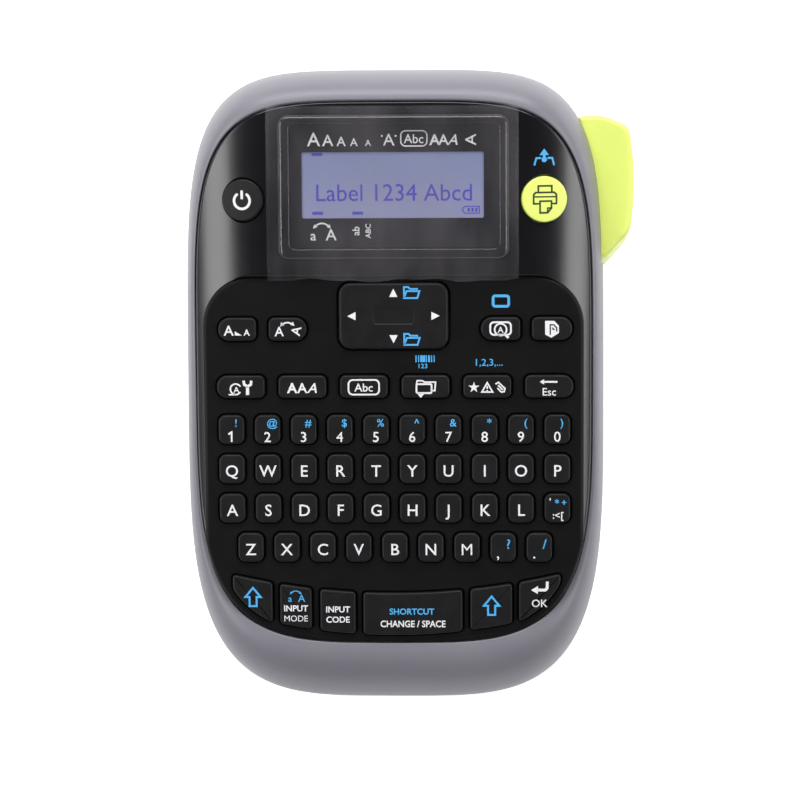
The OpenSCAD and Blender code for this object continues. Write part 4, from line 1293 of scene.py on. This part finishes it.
def button_matrix(at):
    """From a button's own directions to its leaning place on the crown"""
    lean = asin((abs(at[0]) - CROWN_FLAT) / CROWN_R)
    side = 1 if at[0] > 0 else -1
    return face_matrix(at[0], at[1], crown(at[0])) @ Matrix.Rotation(side * lean, 4, "Y")


class LABELMAKER_OT_keys(Maker, bpy.types.Operator):
    """Builds the typing rows, the function keys and the bottom row"""
    bl_idname = "labelmaker.keys"
    bl_label = "Keys"

    def make(self):
        cap = loft("cap", plan_rings(rectangle((0, 0), *KEY_SIZE, KEY_R), key_levels()))
        for name, (row, _) in TYPING_ROWS.items():
            keys = grow_from(named_tree(row_tree), name + "_caps", [(0, 0, 0)], Piece=cap,
                             Count=ROW_COUNT[row], Pitch=COLUMN * MM, Material=key_black())
            moved(keys, face_matrix(TYPE_U, TYPE_V + row * ROW))
            show(keys, name, key_black(), [name])
        drop_piece(cap)
        for name in (*FUNCTION_KEYS, *PAIRS):
            self.single(name, key_outline(name))
        for name in LOW_ROW:
            self.single(name, low_outline(name))

    def single(self, name, outline):
        keys = loft(name + "_cap", face_rings(outline, key_levels()))
        show(keys, name, key_black(), [name])


class LABELMAKER_OT_nav_pad(Maker, bpy.types.Operator):
    """Builds the rocking pad with its sunk middle"""
    bl_idname = "labelmaker.nav_pad"
    bl_label = "Navigation pad"

    def make(self):
        levels = [(0, -3.2)] + top_edge(KEY_TOP, 0.8)
        pad = loft("nav_pad_cap", face_rings(nav_outline(), levels))
        dip = [(-0.25, KEY_TOP - 0.2), (0, KEY_TOP), (0.4, KEY_TOP + 0.3)]
        carve(pad, loft("middle", face_rings(rectangle(NAV_AT, *NAV_DIP, 0.9), dip)))
        show(pad, "nav_pad", key_black(), ["nav_pad"])


class LABELMAKER_OT_buttons(Maker, bpy.types.Operator):
    """Builds the power and print buttons"""
    bl_idname = "labelmaker.buttons"
    bl_label = "Round buttons"

    def make(self):
        self.button("power_button", POWER_AT, POWER_R, "key_black", key_black())
        self.button("print_button", PRINT_AT, PRINT_R, "lime", lime())

    def button(self, name, at, r, slot, material):
        levels = [(1, -4.6), (1, -3.6), (0, -3.6)] + top_edge(BUTTON_RISE - 0.15, 0.55, hold=0.2)
        levels += [(-r * 0.35, BUTTON_RISE - 0.05), (-r * 0.7, BUTTON_RISE)]
        cap = loft(name + "_cap", plan_rings(round_outline((0, 0), r, 96), levels))
        moved(cap, button_matrix(at))
        show(cap, name, material, [name])


class LABELMAKER_OT_display(Maker, bpy.types.Operator):
    """Builds the display frame, window, lit screen and clear film"""
    bl_idname = "labelmaker.display"
    bl_label = "Display"

    def make(self):
        self.frame()
        self.window()
        self.screen()
        self.film()

    def frame(self):
        edge = size("frame_edge")
        outer = rectangle(SCREEN_AT, *FRAME_SIZE, 3, steps=12)
        levels = [(1.2, FRAME_W), (1.2, -0.9), (0, -0.9)] + top_edge(FRAME_TOP, edge, steps=10)
        bezel = loft("display_bezel_frame", face_rings(outer, levels))
        opening = rectangle(WINDOW_AT, *WINDOW_HOLE, 1.6)
        cut = [(0, 1.4)] + [(g, w + FRAME_TOP) for g, w in flared(1.4 - FRAME_TOP, 6, 0.45)[1:]]
        carve(bezel, loft("opening", face_rings(opening, cut)),
              loft("well", face_rings(rectangle(WINDOW_AT, *WELL_SIZE, 1), [(0, -4), (0, 3)])))
        show(bezel, "root", frame_black(), ["display_bezel"])

    def window(self):
        pane = rectangle(WINDOW_AT, *WINDOW_SIZE, 1.4)
        mask = loft("display_window_mask", face_rings(pane, [(0, WINDOW_LOW), (0, WINDOW_LOW + 0.15)]))
        view = rectangle(VIEW_AT, *VIEW_SIZE, 0.5)
        carve(mask, loft("aperture", face_rings(view, [(0, 0), (0, 3)])))
        ink = finish("Window mask", (0.009, 0.009, 0.012), 0.3, depth=0.002)
        show(mask, "root", ink, ["display_window"])
        levels = [(0, WINDOW_LOW + 0.2)] + top_edge(WINDOW_TOP, 0.2, steps=3, hold=0.1)
        glass = see_through("Window glass", (0.02, 0.02, 0.025), 0.04, 0.06)
        show(loft("display_window_glass", face_rings(pane, levels)), "root", glass,
             ["display_window"])

    def screen(self):
        base = colour("screen")
        lit = finish("Screen", base, 0.35, vary=0.02, depth=0.002)
        tree = lit.node_tree
        shader = tree.nodes["Principled BSDF"]
        along = node(tree, "ShaderNodeSeparateXYZ", [("Vector", object_place(tree))]).outputs["Y"]
        low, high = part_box("lcd_panel")
        near = (base[0] * 1.35, base[1] * 1.18, base[2] * 1.08, 1)
        far = (base[0] * 0.85, base[1] * 0.92, base[2] * 0.93, 1)
        shade = ramp(tree, map_range(tree, along, low.y, high.y, 0, 1), near, far)
        tree.links.new(shade, shader.inputs["Base Color"])
        tree.links.new(shade, shader.inputs["Emission Color"])
        shader.inputs["Emission Strength"].default_value = 0.25
        coat("lcd_panel", lit)
        self.marks()

    def marks(self):
        """Words, cursor bars and a battery sign on the lit screen"""
        marks = Ink(VIEW_AT)
        marks.write("Label 1234 Abcd", (0.3, -1.9), 4.9, stretch=0.96, bold=0.02)
        for at in ((-20.8, 8.5), (-20.8, -7.7), (-9.7, -7.7)):
            marks.patch(rectangle(at, 3, 0.85, 0.1))
        battery = [(19.1, -6.9), (19.8, -5.95), (23.8, -5.95), (23.8, -7.85), (19.8, -7.85)]
        marks.line(battery, 0.28, closed=True)
        for k in range(3):
            marks.patch(rectangle((20.9 + k * 1.05, -6.9), 0.6, 1.1, 0.05))
        ink = finish("Screen marks", colour("screen_ink"), 0.4, vary=0.05, depth=0.002)
        marks.print_on("lcd_marks", "root", "lcd_glass", ink, at_height(LCD_TOP))

    def film(self):
        """Thin sheet that bows down past the frame it lies on, with a slightly wavy near edge"""
        columns = 70
        rows = 48
        w, l = FILM_SIZE
        flat_u = 31
        flat_v = 19.4
        points = []
        for j in range(rows + 1):
            for i in range(columns + 1):
                across = (i / columns - 0.5) * w
                along = (j / rows - 0.5) * l
                near = max(0, -along / (l / 2)) ** 3
                along += near * (0.35 * sin(across * 0.21) + 0.2 * sin(across * 0.53 + 1))
                out = max(0, abs(across) - flat_u) + max(0, abs(along) - flat_v)
                ripple = 0.02 * sin(across * 0.35 + 1) * sin(along * 0.3)
                points.append(on_face(FILM_AT[0] + across, FILM_AT[1] + along,
                                      FILM_TOP - 0.07 + ripple - 0.05 * out ** 1.6))
        faces = []
        for j in range(rows):
            for i in range(columns):
                a = j * (columns + 1) + i
                faces.append((a, a + 1, a + columns + 2, a + columns + 1))
        film = new_piece("display_film_sheet", points, faces)
        # The outermost row of faces all round takes the second, paler and less clear finish: a painted
        # highlight along the film's cut edge
        for face in film.data.polygons:
            j, i = divmod(face.index, columns)
            face.material_index = int(min(i, columns - 1 - i, j, rows - 1 - j) < 1)
        thick = film.modifiers.new("Thickness", "SOLIDIFY")
        thick.thickness = FILM_T * MM
        thick.offset = -1
        # Grey streaky haze over the film: partly its own haze, partly painted reflection of the lamps and
        # room
        clear = see_through("Film", (0.35, 0.33, 0.36), 0.14, 0.025, 0.07, (1, 0.25, 1))
        # Painted highlight of the film's edge
        edge_highlight = see_through("Film edge", (0.5, 0.5, 0.53), 0.25, 0.22, 0.12)
        show(film, "root", [clear, edge_highlight], ["display_film"], weighted=False)


class LABELMAKER_OT_legends(Maker, bpy.types.Operator):
    """Prints every legend on the keys, the deck and the display window"""
    bl_idname = "labelmaker.legends"
    bl_label = "Legends"

    def make(self):
        self.typing()
        self.icons()
        self.bottom_row()
        self.navigation()
        self.deck()
        self.feed()
        self.window()
        self.round_buttons()

    def put(self, body, white=None, blue=None):
        if white:
            white.print_on(body + "_legend", body, "key_black", white_ink(), at_height(KEY_TOP))
        if blue:
            blue.print_on(body + "_second_legend", body, "key_black", blue_ink(), at_height(KEY_TOP))

    def typing(self):
        for name, (row, letters) in TYPING_ROWS.items():
            white = Ink()
            blue = Ink()
            for column, letter in enumerate(letters):
                if name == "number_keys":
                    self.number(white, blue, letter, column)
                else:
                    u, v = typing_at(row, column)
                    white.write(letter, (u, v - 0.4), size("letter"), bold=0.035)
            if name == "middle_letter_keys":
                self.colon(white, blue)
            if name == "lower_letter_keys":
                self.stops(white, blue)
            self.put(name, white, blue if blue.faces else None)

    def number(self, white, blue, digit, column):
        """Digit low on its key, with its blue mark at the upper right"""
        u, v = typing_at(3, column)
        tall = size("letter")
        if digit == "1":
            white.line([(u - 0.85, v - 1.25), (u + 0.05, v - 0.65), (u + 0.05, v - 3.4)], 0.48)
        else:
            white.write(digit, (u, v - 1.95), tall * 0.88, bold=0.03)
        blue.write("!@#$%^&*()"[column], (u + 1.3, v + 2.0), tall * 0.66, bold=0.03)

    def colon(self, white, blue):
        """Small marks on the last key of the middle row"""
        u, v = typing_at(1, 9)
        white.write(":<[", (u + 0.2, v - 1.9), 2.0, bold=0.03)
        white.write("'", (u - 2.0, v + 1.9), 2.0, bold=0.03)
        blue.write("*", (u - 0.1, v + 1.6), 2.0, bold=0.03)
        blue.write("+", (u + 1.9, v + 1.7), 1.9, bold=0.04)

    def stops(self, white, blue):
        """Stops on the last two keys of the lower row"""
        for column, marks in ((7, ",?"), (8, "./")):
            u, v = typing_at(0, column)
            white.write(marks[0], (u - 1.4, v - 1.4), 3.2, bold=0.03)
            blue.write(marks[1], (u + 1.5, v + 1.1), 2.8, bold=0.03)

    def icons(self):
        down = 0.2
        for name, draw in KEY_ICONS.items():
            u, v = function_at(name) if name in FUNCTION_KEYS else (PAIRS[name][0], PAIR_V)
            ink = Ink((u, v - down))
            draw(ink, size("ink_line"))
            self.put(name, ink)
        gap = Ink((PAIRS["copy_key"][0], PAIR_V - down))
        sheet_gap(gap)
        gap.print_on("copy_key_legend_gap", "copy_key", "key_black", key_black(),
                     at_height(KEY_TOP + size("ink")))

    def bottom_inks(self, name):
        """White and blue ink at the middle of a bottom key, with places counted along the face"""
        at = (sum(LOW_ROW[name]) / 2, 0)
        return Ink(at), Ink(at)

    def bottom_row(self):
        for name in ("left_shift_key", "right_shift_key"):
            u = sum(LOW_ROW[name]) / 2
            arrow = Ink((u + 0.1, sum(low_arcs(u)) / 2 + 0.3))
            shift_arrow(arrow)
            self.put(name, None, arrow)
        white, blue = self.bottom_inks("case_key")
        case_swap(blue, (0, 15.9), 0.82)
        white.write("INPUT", (0, 12.4), 1.75, bold=0.05)
        white.write("MODE", (0, 9.5), 1.75)
        self.put("case_key", white, blue)
        white, blue = self.bottom_inks("code_key")
        white.write("INPUT", (0, 12.1), 1.75, bold=0.05)
        white.write("CODE", (0, 9.2), 1.75, bold=0.05)
        self.put("code_key", white)
        white, blue = self.bottom_inks("space_key")
        blue.write("SHORTCUT", (-0.3, 11.5), 1.75, bold=0.05)
        white.write("CHANGE / SPACE", (0, 8.0), 1.9, bold=0.05, stretch=0.9)
        self.put("space_key", white, blue)
        white, blue = self.bottom_inks("enter_key")
        white.line([(2.1, 20.0), (2.1, 18.2), (1.6, 17.6), (-0.8, 17.6)], 0.8)
        white.arrow_head((-2.4, 17.6), 180, 1.9, 2.3)
        white.write("OK", (-0.1, 13.9), 2.2, bold=0.02)
        self.put("enter_key", white)

    def navigation(self):
        white = Ink(NAV_AT)
        blue = Ink(NAV_AT)
        for u, v, turn in ((0, 7.6, 90), (0, -7.6, -90), (-12.8, 0, 180), (12.8, 0, 0)):
            white.arrow_head((u, v), turn, 2.3, 2.3)
        for v in (6.5, -6.5):
            folder(blue, (5, v), 1.02)
        self.put("nav_pad", white, blue)

    def deck(self):
        """Small blue marks between the keys: a box, bars over a number, and a count"""
        blue = Ink()
        blue.box((30.0, 98.6), 4.3, 2.9, 0.6, 0.75)
        for k, width in enumerate((0.3, 0.3, 0.55, 0.8, 0.3, 0.55, 0.3, 0.3)):
            blue.patch(rectangle((6.4 + k * 0.72, 82.6), width, 1.9, 0.02))
        blue.write("123", (8.2, 80.6), 1.3, bold=0.02, stretch=1.1)
        blue.write("1,2,3,...", (26.5, 81.6), 2.0, bold=0.01, stretch=1.05)
        blue.print_on("deck_legend", "root", "panel_black", blue_ink(), at_height(0))

    def feed(self):
        """Tape feed mark over the print button"""
        ink = Ink((42, 138.2))
        ink.line([(0, -0.9), (0, 1.0)], 0.7)
        ink.arrow_head((0, 2.5), 90, 1.8, 2.6)
        for s in (-1, 1):
            ink.line([(s * 2.7, -2.1), (s * 2.2, -0.1), (s * 0.9, -0.1)], 0.5)
        ink.disc((0, -0.5), 0.75)
        ink.print_on("feed_legend", "root", "panel_black", blue_ink(), lambda a, b: on_face(a, b, crown(a)))

    def window(self):
        """Marks around the display: letter sizes, style, frame, slant and turn above, case below"""
        ink = Ink()
        for u, tall in ((-21.4, 3.9), (-17.5, 3.3), (-13.8, 2.7), (-10.3, 2.2), (-6.4, 1.75)):
            ink.write("A", (u, 141.7 + tall / 2), tall, bold=0.03)
        ink.write("A", (-0.7, 143.5), 3.4, bold=0.02)
        for s in (-1, 1):
            ink.disc((-0.7 + s * 1.9, 144.4), 0.28)
        ink.box((6.2, 143.7), 7.2, 4.2, 1.3, 0.34)
        ink.write("Abc", (6.2, 143.7), 2.6, bold=0.02, stretch=0.95)
        for k, bold in enumerate((0.09, 0.05, 0.02)):
            ink.write("A", (11.9 + k * 2.45, 143.4), 3.0, bold=bold, slant=0.3 * (k == 2))
        ink.write("A", (21.7, 143.3), 3.1, turn=90, bold=0.02, stretch=1.1)
        case_swap(ink, (-19.3, 118.3), 1.25)
        ink.write("ab", (-10.0, 118.3), 2.0, turn=90, bold=0.04)
        ink.write("ABC", (-6.6, 118.3), 1.5, turn=90, bold=0.03)
        ink.print_on("window_legend", "root", "window_clear", white_ink(), at_height(WINDOW_LOW + 0.15))

    def round_buttons(self):
        power = Ink()
        power.arc((0, -0.15), 2.25, 122, 418, 0.72)
        power.line([(0, 0.3), (0, 2.7)], 0.72)
        power.print_on("power_button_legend", "power_button", "key_black", white_ink(), on_button(POWER_AT))
        printer = Ink()
        printer.line([(-1.9, 1.9), (-1.9, 3.7), (1.9, 3.7), (1.9, 1.9)], 0.5)
        printer.line([(-1.6, -1.2), (-3.2, -1.2), (-3.2, 1.3), (-2.6, 1.9), (2.6, 1.9), (3.2, 1.3),
                      (3.2, -1.2), (2.0, -1.2)], 0.5)
        printer.line([(-3.1, 0.7), (3.1, 0.7)], 0.4)
        printer.line([(-1.4, -0.5), (1.8, -0.5), (1.8, -2.4), (0.7, -3.7), (-1.4, -3.7)], 0.5, closed=True)
        printer.line([(1.8, -2.4), (0.7, -2.4), (0.7, -3.7)], 0.4)
        dark = finish("Dark ink", (0.03, 0.045, 0.012), 0.5, grain=0.12, depth=0.004)
        printer.print_on("print_button_legend", "print_button", "lime", dark, on_button(PRINT_AT))


def on_button(at):
    """Placing on the top of a round button"""
    matrix = button_matrix(at)
    return lambda a, b: matrix @ (Vector((a, b, BUTTON_RISE)) * MM) / MM


class LABELMAKER_OT_lever(Maker, bpy.types.Operator):
    """Builds the thumb lever with its bulged outer face, hollow inside"""
    bl_idname = "labelmaker.lever"
    bl_label = "Cutter lever"

    def plan(self, inset=0, corner=2.6):
        """Outline from above: straight inside, with a bulged outer side"""
        near = LEVER_Y[0] + inset
        far = LEVER_Y[1] - inset
        side = HALF_W + 0.2 - 0.4 * inset
        inner = HALF_W - 7.5
        out = HALF_W + 12
        bulge = round_outline(BULGE_AT, BULGE_R - inset, 720)
        fence = [(inner, near), (side, near), (out, near + 13), (out, far - 5.4), (side, far), (inner, far)]
        sharp = clip(bulge, fence)
        return eased(distinct(sharp), corner, 0.4)

    def make(self):
        low, high = LEVER_Z
        edge = size("lever_edge")
        levels = low_edge(low, edge, 6) + top_edge(high, edge, 6)[:-1]
        lever = loft("cutter_lever_paddle", plan_rings(self.plan(), levels))
        open_inside = [(x - 3 if x < HALF_W - 7.2 else x, y) for x, y in self.plan(LEVER_WALL, 1.2)]
        walls = [(0, low + LEVER_WALL), (0, high - LEVER_WALL)]
        carve(lever, loft("hollow", plan_rings(open_inside, walls)),
              rod("clearance", PIVOT, EAR_R + 1, low - 1, EAR_Z))
        carve(lever, rod("ear", PIVOT, EAR_R, EAR_Z, high),
              block("web", (PIVOT[0], HALF_W - 1.5), (PIVOT[1] - 2.5, PIVOT[1] + 3), (EAR_Z, high)),
              block("nose", (HALF_W - 11.4, HALF_W - 5.5), (HALF_L - 16.2, HALF_L - 13.2), (low, 26.4)),
              how="UNION")
        carve(lever, rod("bore", PIVOT, BORE_R, low, high + 1))
        show(lever, "lever", lime(), ["cutter_lever"], angle=35)


class LABELMAKER_OT_springs(Maker, bpy.types.Operator):
    """Winds the lever spring and the battery springs"""
    bl_idname = "labelmaker.springs"
    bl_label = "Springs"

    def make(self):
        low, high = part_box("lever_spring")
        wire = 0.4 * MM
        spring = self.coil("lever_spring_coil", 5.0, 2.5 * MM, 2.5 * MM, (high - low).z - 2 * wire, wire)
        centre = (low + high) / 2
        moved(spring, Matrix.Translation((centre.x, centre.y, low.z + wire)))
        self.finished(spring, "lever_spring")
        cone = self.coil("cone", 3.0, 3.6 * MM, 2.4 * MM, 3.1 * MM, 0.35 * MM)
        parts = [moved(add_object("part", cone.data.copy()), place) for place in cell_places(SPRING_ROOM)]
        springs = joined("battery_springs_coils", parts)
        drop_piece(cone)
        self.finished(springs, "battery_springs")

    def coil(self, name, turns, low_r, high_r, height, wire_r):
        return grow_from(named_tree(coil_tree), name, [(0, 0, 0)], Turns=turns, Low_radius=low_r,
                         High_radius=high_r, Height=height, Wire_radius=wire_r,
                         Material=plain("contact_metal"))

    def finished(self, spring, packed):
        show(spring, "root", plain("contact_metal"), [packed], angle=60, weighted=False)


def cell_places(room):
    """Where each cell starts, room away from the plates, with its top to the near and the far by turns"""
    near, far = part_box("battery_plates")
    low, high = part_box("batteries")
    places = []
    for i in range(CELLS):
        turn, y = (-pi / 2, near.y + room * MM) if i % 2 == 0 else (pi / 2, far.y - room * MM)
        at = ((i - (CELLS - 1) / 2) * CELL_PITCH * MM, y, (low.z + high.z) / 2)
        places.append(Matrix.Translation(at) @ Matrix.Rotation(turn, 4, "X"))
    return places


def joined(name, parts):
    """One object from several, which are removed"""
    form = bmesh.new()
    for part in parts:
        form.from_mesh(part.data)
    mesh = bpy.data.meshes.new(name)
    form.to_mesh(mesh)
    form.free()
    for part in parts:
        drop_piece(part)
    return add_object(name, mesh)


class LABELMAKER_OT_screws(Maker, bpy.types.Operator):
    """Makes the case and board screws with cross recesses and threads"""
    bl_idname = "labelmaker.screws"
    bl_label = "Screws"

    def screw(self, head_r, head_t, shank_r, shank_l):
        """Screw along +Z from its head's outer face, which is at height 0"""
        profile = [(head_r - 0.35, 0), (head_r, 0.35), (head_r, head_t), (shank_r, head_t)]
        pitch = 0.9
        root_r = shank_r * 0.82
        for k in range(int((shank_l - 1.2) / pitch)):
            z = head_t + 0.4 + k * pitch
            profile += [(root_r, z), (shank_r, z + pitch * 0.35), (shank_r, z + pitch * 0.45),
                        (root_r, z + pitch * 0.8)]
        profile += [(shank_r * 0.75, head_t + shank_l - 0.5), (shank_r * 0.3, head_t + shank_l)]
        body = loft("screw", [[(x, y, z) for x, y in round_outline((0, 0), r, 28)] for r, z in profile])
        deep = head_t * 0.6
        arm = head_r * 0.68
        carve(body, block("slot", (-arm, arm), (-0.3, 0.3), (-1, deep)),
              block("slot", (-0.3, 0.3), (-arm, arm), (-1, deep)))
        return body

    def place(self, name, screw, points):
        placed = grow_from(named_tree(place_tree), name + "_set", points, Piece=screw,
                           Material=plain("steel"))
        drop_piece(screw)
        return placed

    def make(self):
        in_case = [(x, y, seam(y) - HEAD_DEPTH - HEAD_T) for x, y in SCREWS]
        placed = self.place("case_screws", self.screw(2.3, HEAD_T, 1.25, 13), in_case)
        show(placed, "root", plain("steel"), ["case_screws"])
        on_posts = [(u, v, BOARD_SCREW_W) for u, v in BOARD_POSTS]
        placed = self.place("board_screws", self.screw(1.8, 1.05, 0.95, 3.9), on_posts)
        moved(placed, face_matrix())
        show(placed, "root", plain("steel"), ["board_screws"])


class LABELMAKER_OT_batteries(Maker, bpy.types.Operator):
    """Builds the cells: steel can, wrap with a band and a tip"""
    bl_idname = "labelmaker.batteries"
    bl_label = "Cells"

    def make(self):
        low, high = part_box("batteries")
        r = (high.z - low.z) / 2 / MM
        can = CELL_L
        body = [(r - 0.8, 0.25), (r - 0.35, 0.1), (r, 0.5), (r, can - 0.6), (r - 0.4, can - 0.15),
                (r - 0.9, can - 0.05)]
        ends = [(r - 1.2, 0), (r - 0.9, 0.02), (r - 0.9, can), (3.4, can), (2.7, can + 0.15),
                (2.7, can + 1.05), (2.55, can + 1.2)]
        wraps = [moved(self.turned("wrap", body), place) for place in cell_places(CELL_ROOM)]
        metal = [moved(self.turned("ends", ends), place) for place in cell_places(CELL_ROOM)]
        steel = plain("contact_metal")
        show(joined("batteries_wrap", wraps), "root", self.wrap(), ["batteries"])
        show(joined("batteries_ends", metal), "root", steel, ["batteries"])

    def turned(self, name, profile):
        return loft(name, [[(x, y, z) for x, y in round_outline((0, 0), r, 48)] for r, z in profile])

    def wrap(self):
        """Printed wrap: a dark green body with a pale band at each cell's middle"""
        made = finish("Cell wrap", (0.015, 0.09, 0.045), 0.3, grain=0.6, depth=0.003, vary=0.08)
        tree = made.node_tree
        shader = tree.nodes["Principled BSDF"]
        old = shader.inputs["Base Color"].links[0].from_socket
        along = node(tree, "ShaderNodeSeparateXYZ", [("Vector", object_place(tree))]).outputs["Y"]
        near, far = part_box("battery_plates")
        band = maths(tree, "COMPARE", along, (near.y + far.y) / 2, 9 * MM)
        both = node(tree, "ShaderNodeMix", [("Factor", band)], data_type="RGBA")
        # A Mix node's colour sockets share their names with its number sockets
        first, second, mixed = both.inputs[6], both.inputs[7], both.outputs[2]
        tree.links.new(old, first)
        second.default_value = (0.62, 0.6, 0.5, 1)
        tree.links.new(mixed, shader.inputs["Base Color"])
        return made


class LABELMAKER_OT_covers(Maker, bpy.types.Operator):
    """Coats the battery and cartridge covers and adds their grip ribs"""
    bl_idname = "labelmaker.covers"
    bl_label = "Covers"

    def make(self):
        for name, ribs, free_near in (("battery_cover", 9, True), ("cartridge_cover", 7, False)):
            coat(name, case_grey())
            low, high = (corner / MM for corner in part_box(name))
            rib = loft("rib", plan_rings(rectangle((0, 0), *RIB_SIZE, 0.35, steps=4),
                                         [(0, low.z + 0.1), (-0.2, low.z - 0.18)]))
            rib.data.flip_normals()
            edge = low.y + RIB_INSET if free_near else high.y - RIB_INSET
            row = grow_from(named_tree(row_tree), name + "_ribs", [(0, 0, 0)], Piece=rib, Count=ribs,
                            Pitch=RIB_PITCH * MM, Material=case_grey())
            drop_piece(rib)
            moved(row, Matrix.Translation(Vector(((low.x + high.x) / 2, edge, 0)) * MM))
            show(row, name, case_grey())


class LABELMAKER_OT_stage(Maker, bpy.types.Operator):
    """Sets the camera, the soft studio lamps and the white floor"""
    bl_idname = "labelmaker.stage"
    bl_label = "Stage"

    def make(self):
        self.camera()
        self.floor()
        self.world()
        self.lamps()
        bpy.context.scene.view_settings.view_transform = "Standard"

    def camera(self):
        target = Vector((0, 0, 28)) * MM
        rise = radians(87)
        side = radians(2.2)
        back = Vector((sin(side), -cos(rise) * cos(side), sin(rise) * cos(side))).normalized()
        data = bpy.data.cameras.new("Camera")
        data.lens = 134.8
        data.sensor_width = 36
        data.shift_x = 0.0056
        data.shift_y = -0.0187
        camera = add_object("Camera", data)
        camera.location = target + back * 0.85
        right = Vector((0, 1, 0)).cross(back).normalized()
        up = back.cross(right)
        camera.rotation_euler = Matrix((right, up, back)).transposed().to_euler()
        bpy.context.scene.camera = camera

    def floor(self):
        far = FLOOR_HALF
        corners = [(x, y, FLOOR_Z) for x, y in ((-far, -far), (far, -far), (far, far), (-far, far))]
        floor = new_piece("floor", corners, [(0, 1, 2, 3)])
        made = bpy.data.materials.new("White floor")
        made.use_nodes = True
        tree = made.node_tree
        shader = tree.nodes["Principled BSDF"]
        shader.inputs["Base Color"].default_value = (0.9, 0.9, 0.9, 1)
        shader.inputs["Roughness"].default_value = 0.9
        shader.inputs["Specular IOR Level"].default_value = 0.1
        shader.inputs["Emission Color"].default_value = (1, 1, 1, 1)
        ray = node(tree, "ShaderNodeLightPath").outputs
        seen = maths(tree, "MAXIMUM", ray["Is Camera Ray"], ray["Is Glossy Ray"])
        seen = maths(tree, "MAXIMUM", seen, ray["Is Transmission Ray"])
        tree.links.new(maths(tree, "MULTIPLY", seen, FLOOR_LIFT), shader.inputs["Emission Strength"])
        floor.data.materials.append(made)

    def world(self):
        """White all round near the horizon and for the camera, with a dim ceiling"""
        world = bpy.data.worlds.new("Studio")
        world.use_nodes = True
        bpy.context.scene.world = world
        tree = world.node_tree
        back = tree.nodes["Background"]
        place = node(tree, "ShaderNodeTexCoord").outputs["Generated"]
        height = node(tree, "ShaderNodeSeparateXYZ", [("Vector", place)]).outputs["Z"]
        ray = node(tree, "ShaderNodeLightPath").outputs
        glossy = maths(tree, "MULTIPLY", ray["Is Glossy Ray"], map_range(tree, height, 0.1, 0.35, 1, 0))
        seen = maths(tree, "MAXIMUM", ray["Is Camera Ray"], ray["Is Transmission Ray"])
        seen = maths(tree, "MAXIMUM", seen, glossy)
        tree.links.new(map_range(tree, seen, 0, 1, ROOM_LIGHT, 1), back.inputs["Strength"])
        back.inputs["Color"].default_value = (1, 1, 1, 1)

    def lamps(self):
        for name, place, aim, wide, tall, power in LAMPS:
            data = bpy.data.lights.new(name, "AREA")
            data.shape = "RECTANGLE"
            data.size = wide
            data.size_y = tall
            data.energy = power
            lamp = add_object(name, data)
            lamp.location = place
            lamp.rotation_euler = (Vector(aim) - Vector(place)).to_track_quat("-Z", "Y").to_euler()


OPERATORS = (LABELMAKER_OT_finishes, LABELMAKER_OT_shells, LABELMAKER_OT_face_panel, LABELMAKER_OT_keys,
             LABELMAKER_OT_nav_pad, LABELMAKER_OT_buttons, LABELMAKER_OT_display, LABELMAKER_OT_legends,
             LABELMAKER_OT_lever, LABELMAKER_OT_springs, LABELMAKER_OT_screws, LABELMAKER_OT_batteries,
             LABELMAKER_OT_covers, LABELMAKER_OT_stage)


class LABELMAKER_PT_build(bpy.types.Panel):
    """Lists the sizes, the colours and every step of the build"""
    bl_idname = "LABELMAKER_PT_build"
    bl_label = "Label Maker"
    bl_space_type = "VIEW_3D"
    bl_region_type = "UI"
    bl_category = "Label Maker"

    def draw(self, context):
        layout = self.layout
        for group in (context.scene.label_maker_sizes, context.scene.label_maker_colours):
            for name in group.__annotations__:
                layout.prop(group, name)
        for operator in OPERATORS:
            layout.operator(operator.bl_idname)


CLASSES = (LabelMakerSizes, LabelMakerColours, *OPERATORS, LABELMAKER_PT_build)


def register():
    for one in CLASSES:
        bpy.utils.register_class(one)
    bpy.types.Scene.label_maker_sizes = PointerProperty(type=LabelMakerSizes)
    bpy.types.Scene.label_maker_colours = PointerProperty(type=LabelMakerColours)


def unregister():
    del bpy.types.Scene.label_maker_colours
    del bpy.types.Scene.label_maker_sizes
    for one in reversed(CLASSES):
        bpy.utils.unregister_class(one)


def main():
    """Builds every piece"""
    register()
    for operator in OPERATORS:
        group, name = operator.bl_idname.split(".")
        getattr(getattr(bpy.ops, group), name)()


if __name__ == "__main__":
    main()
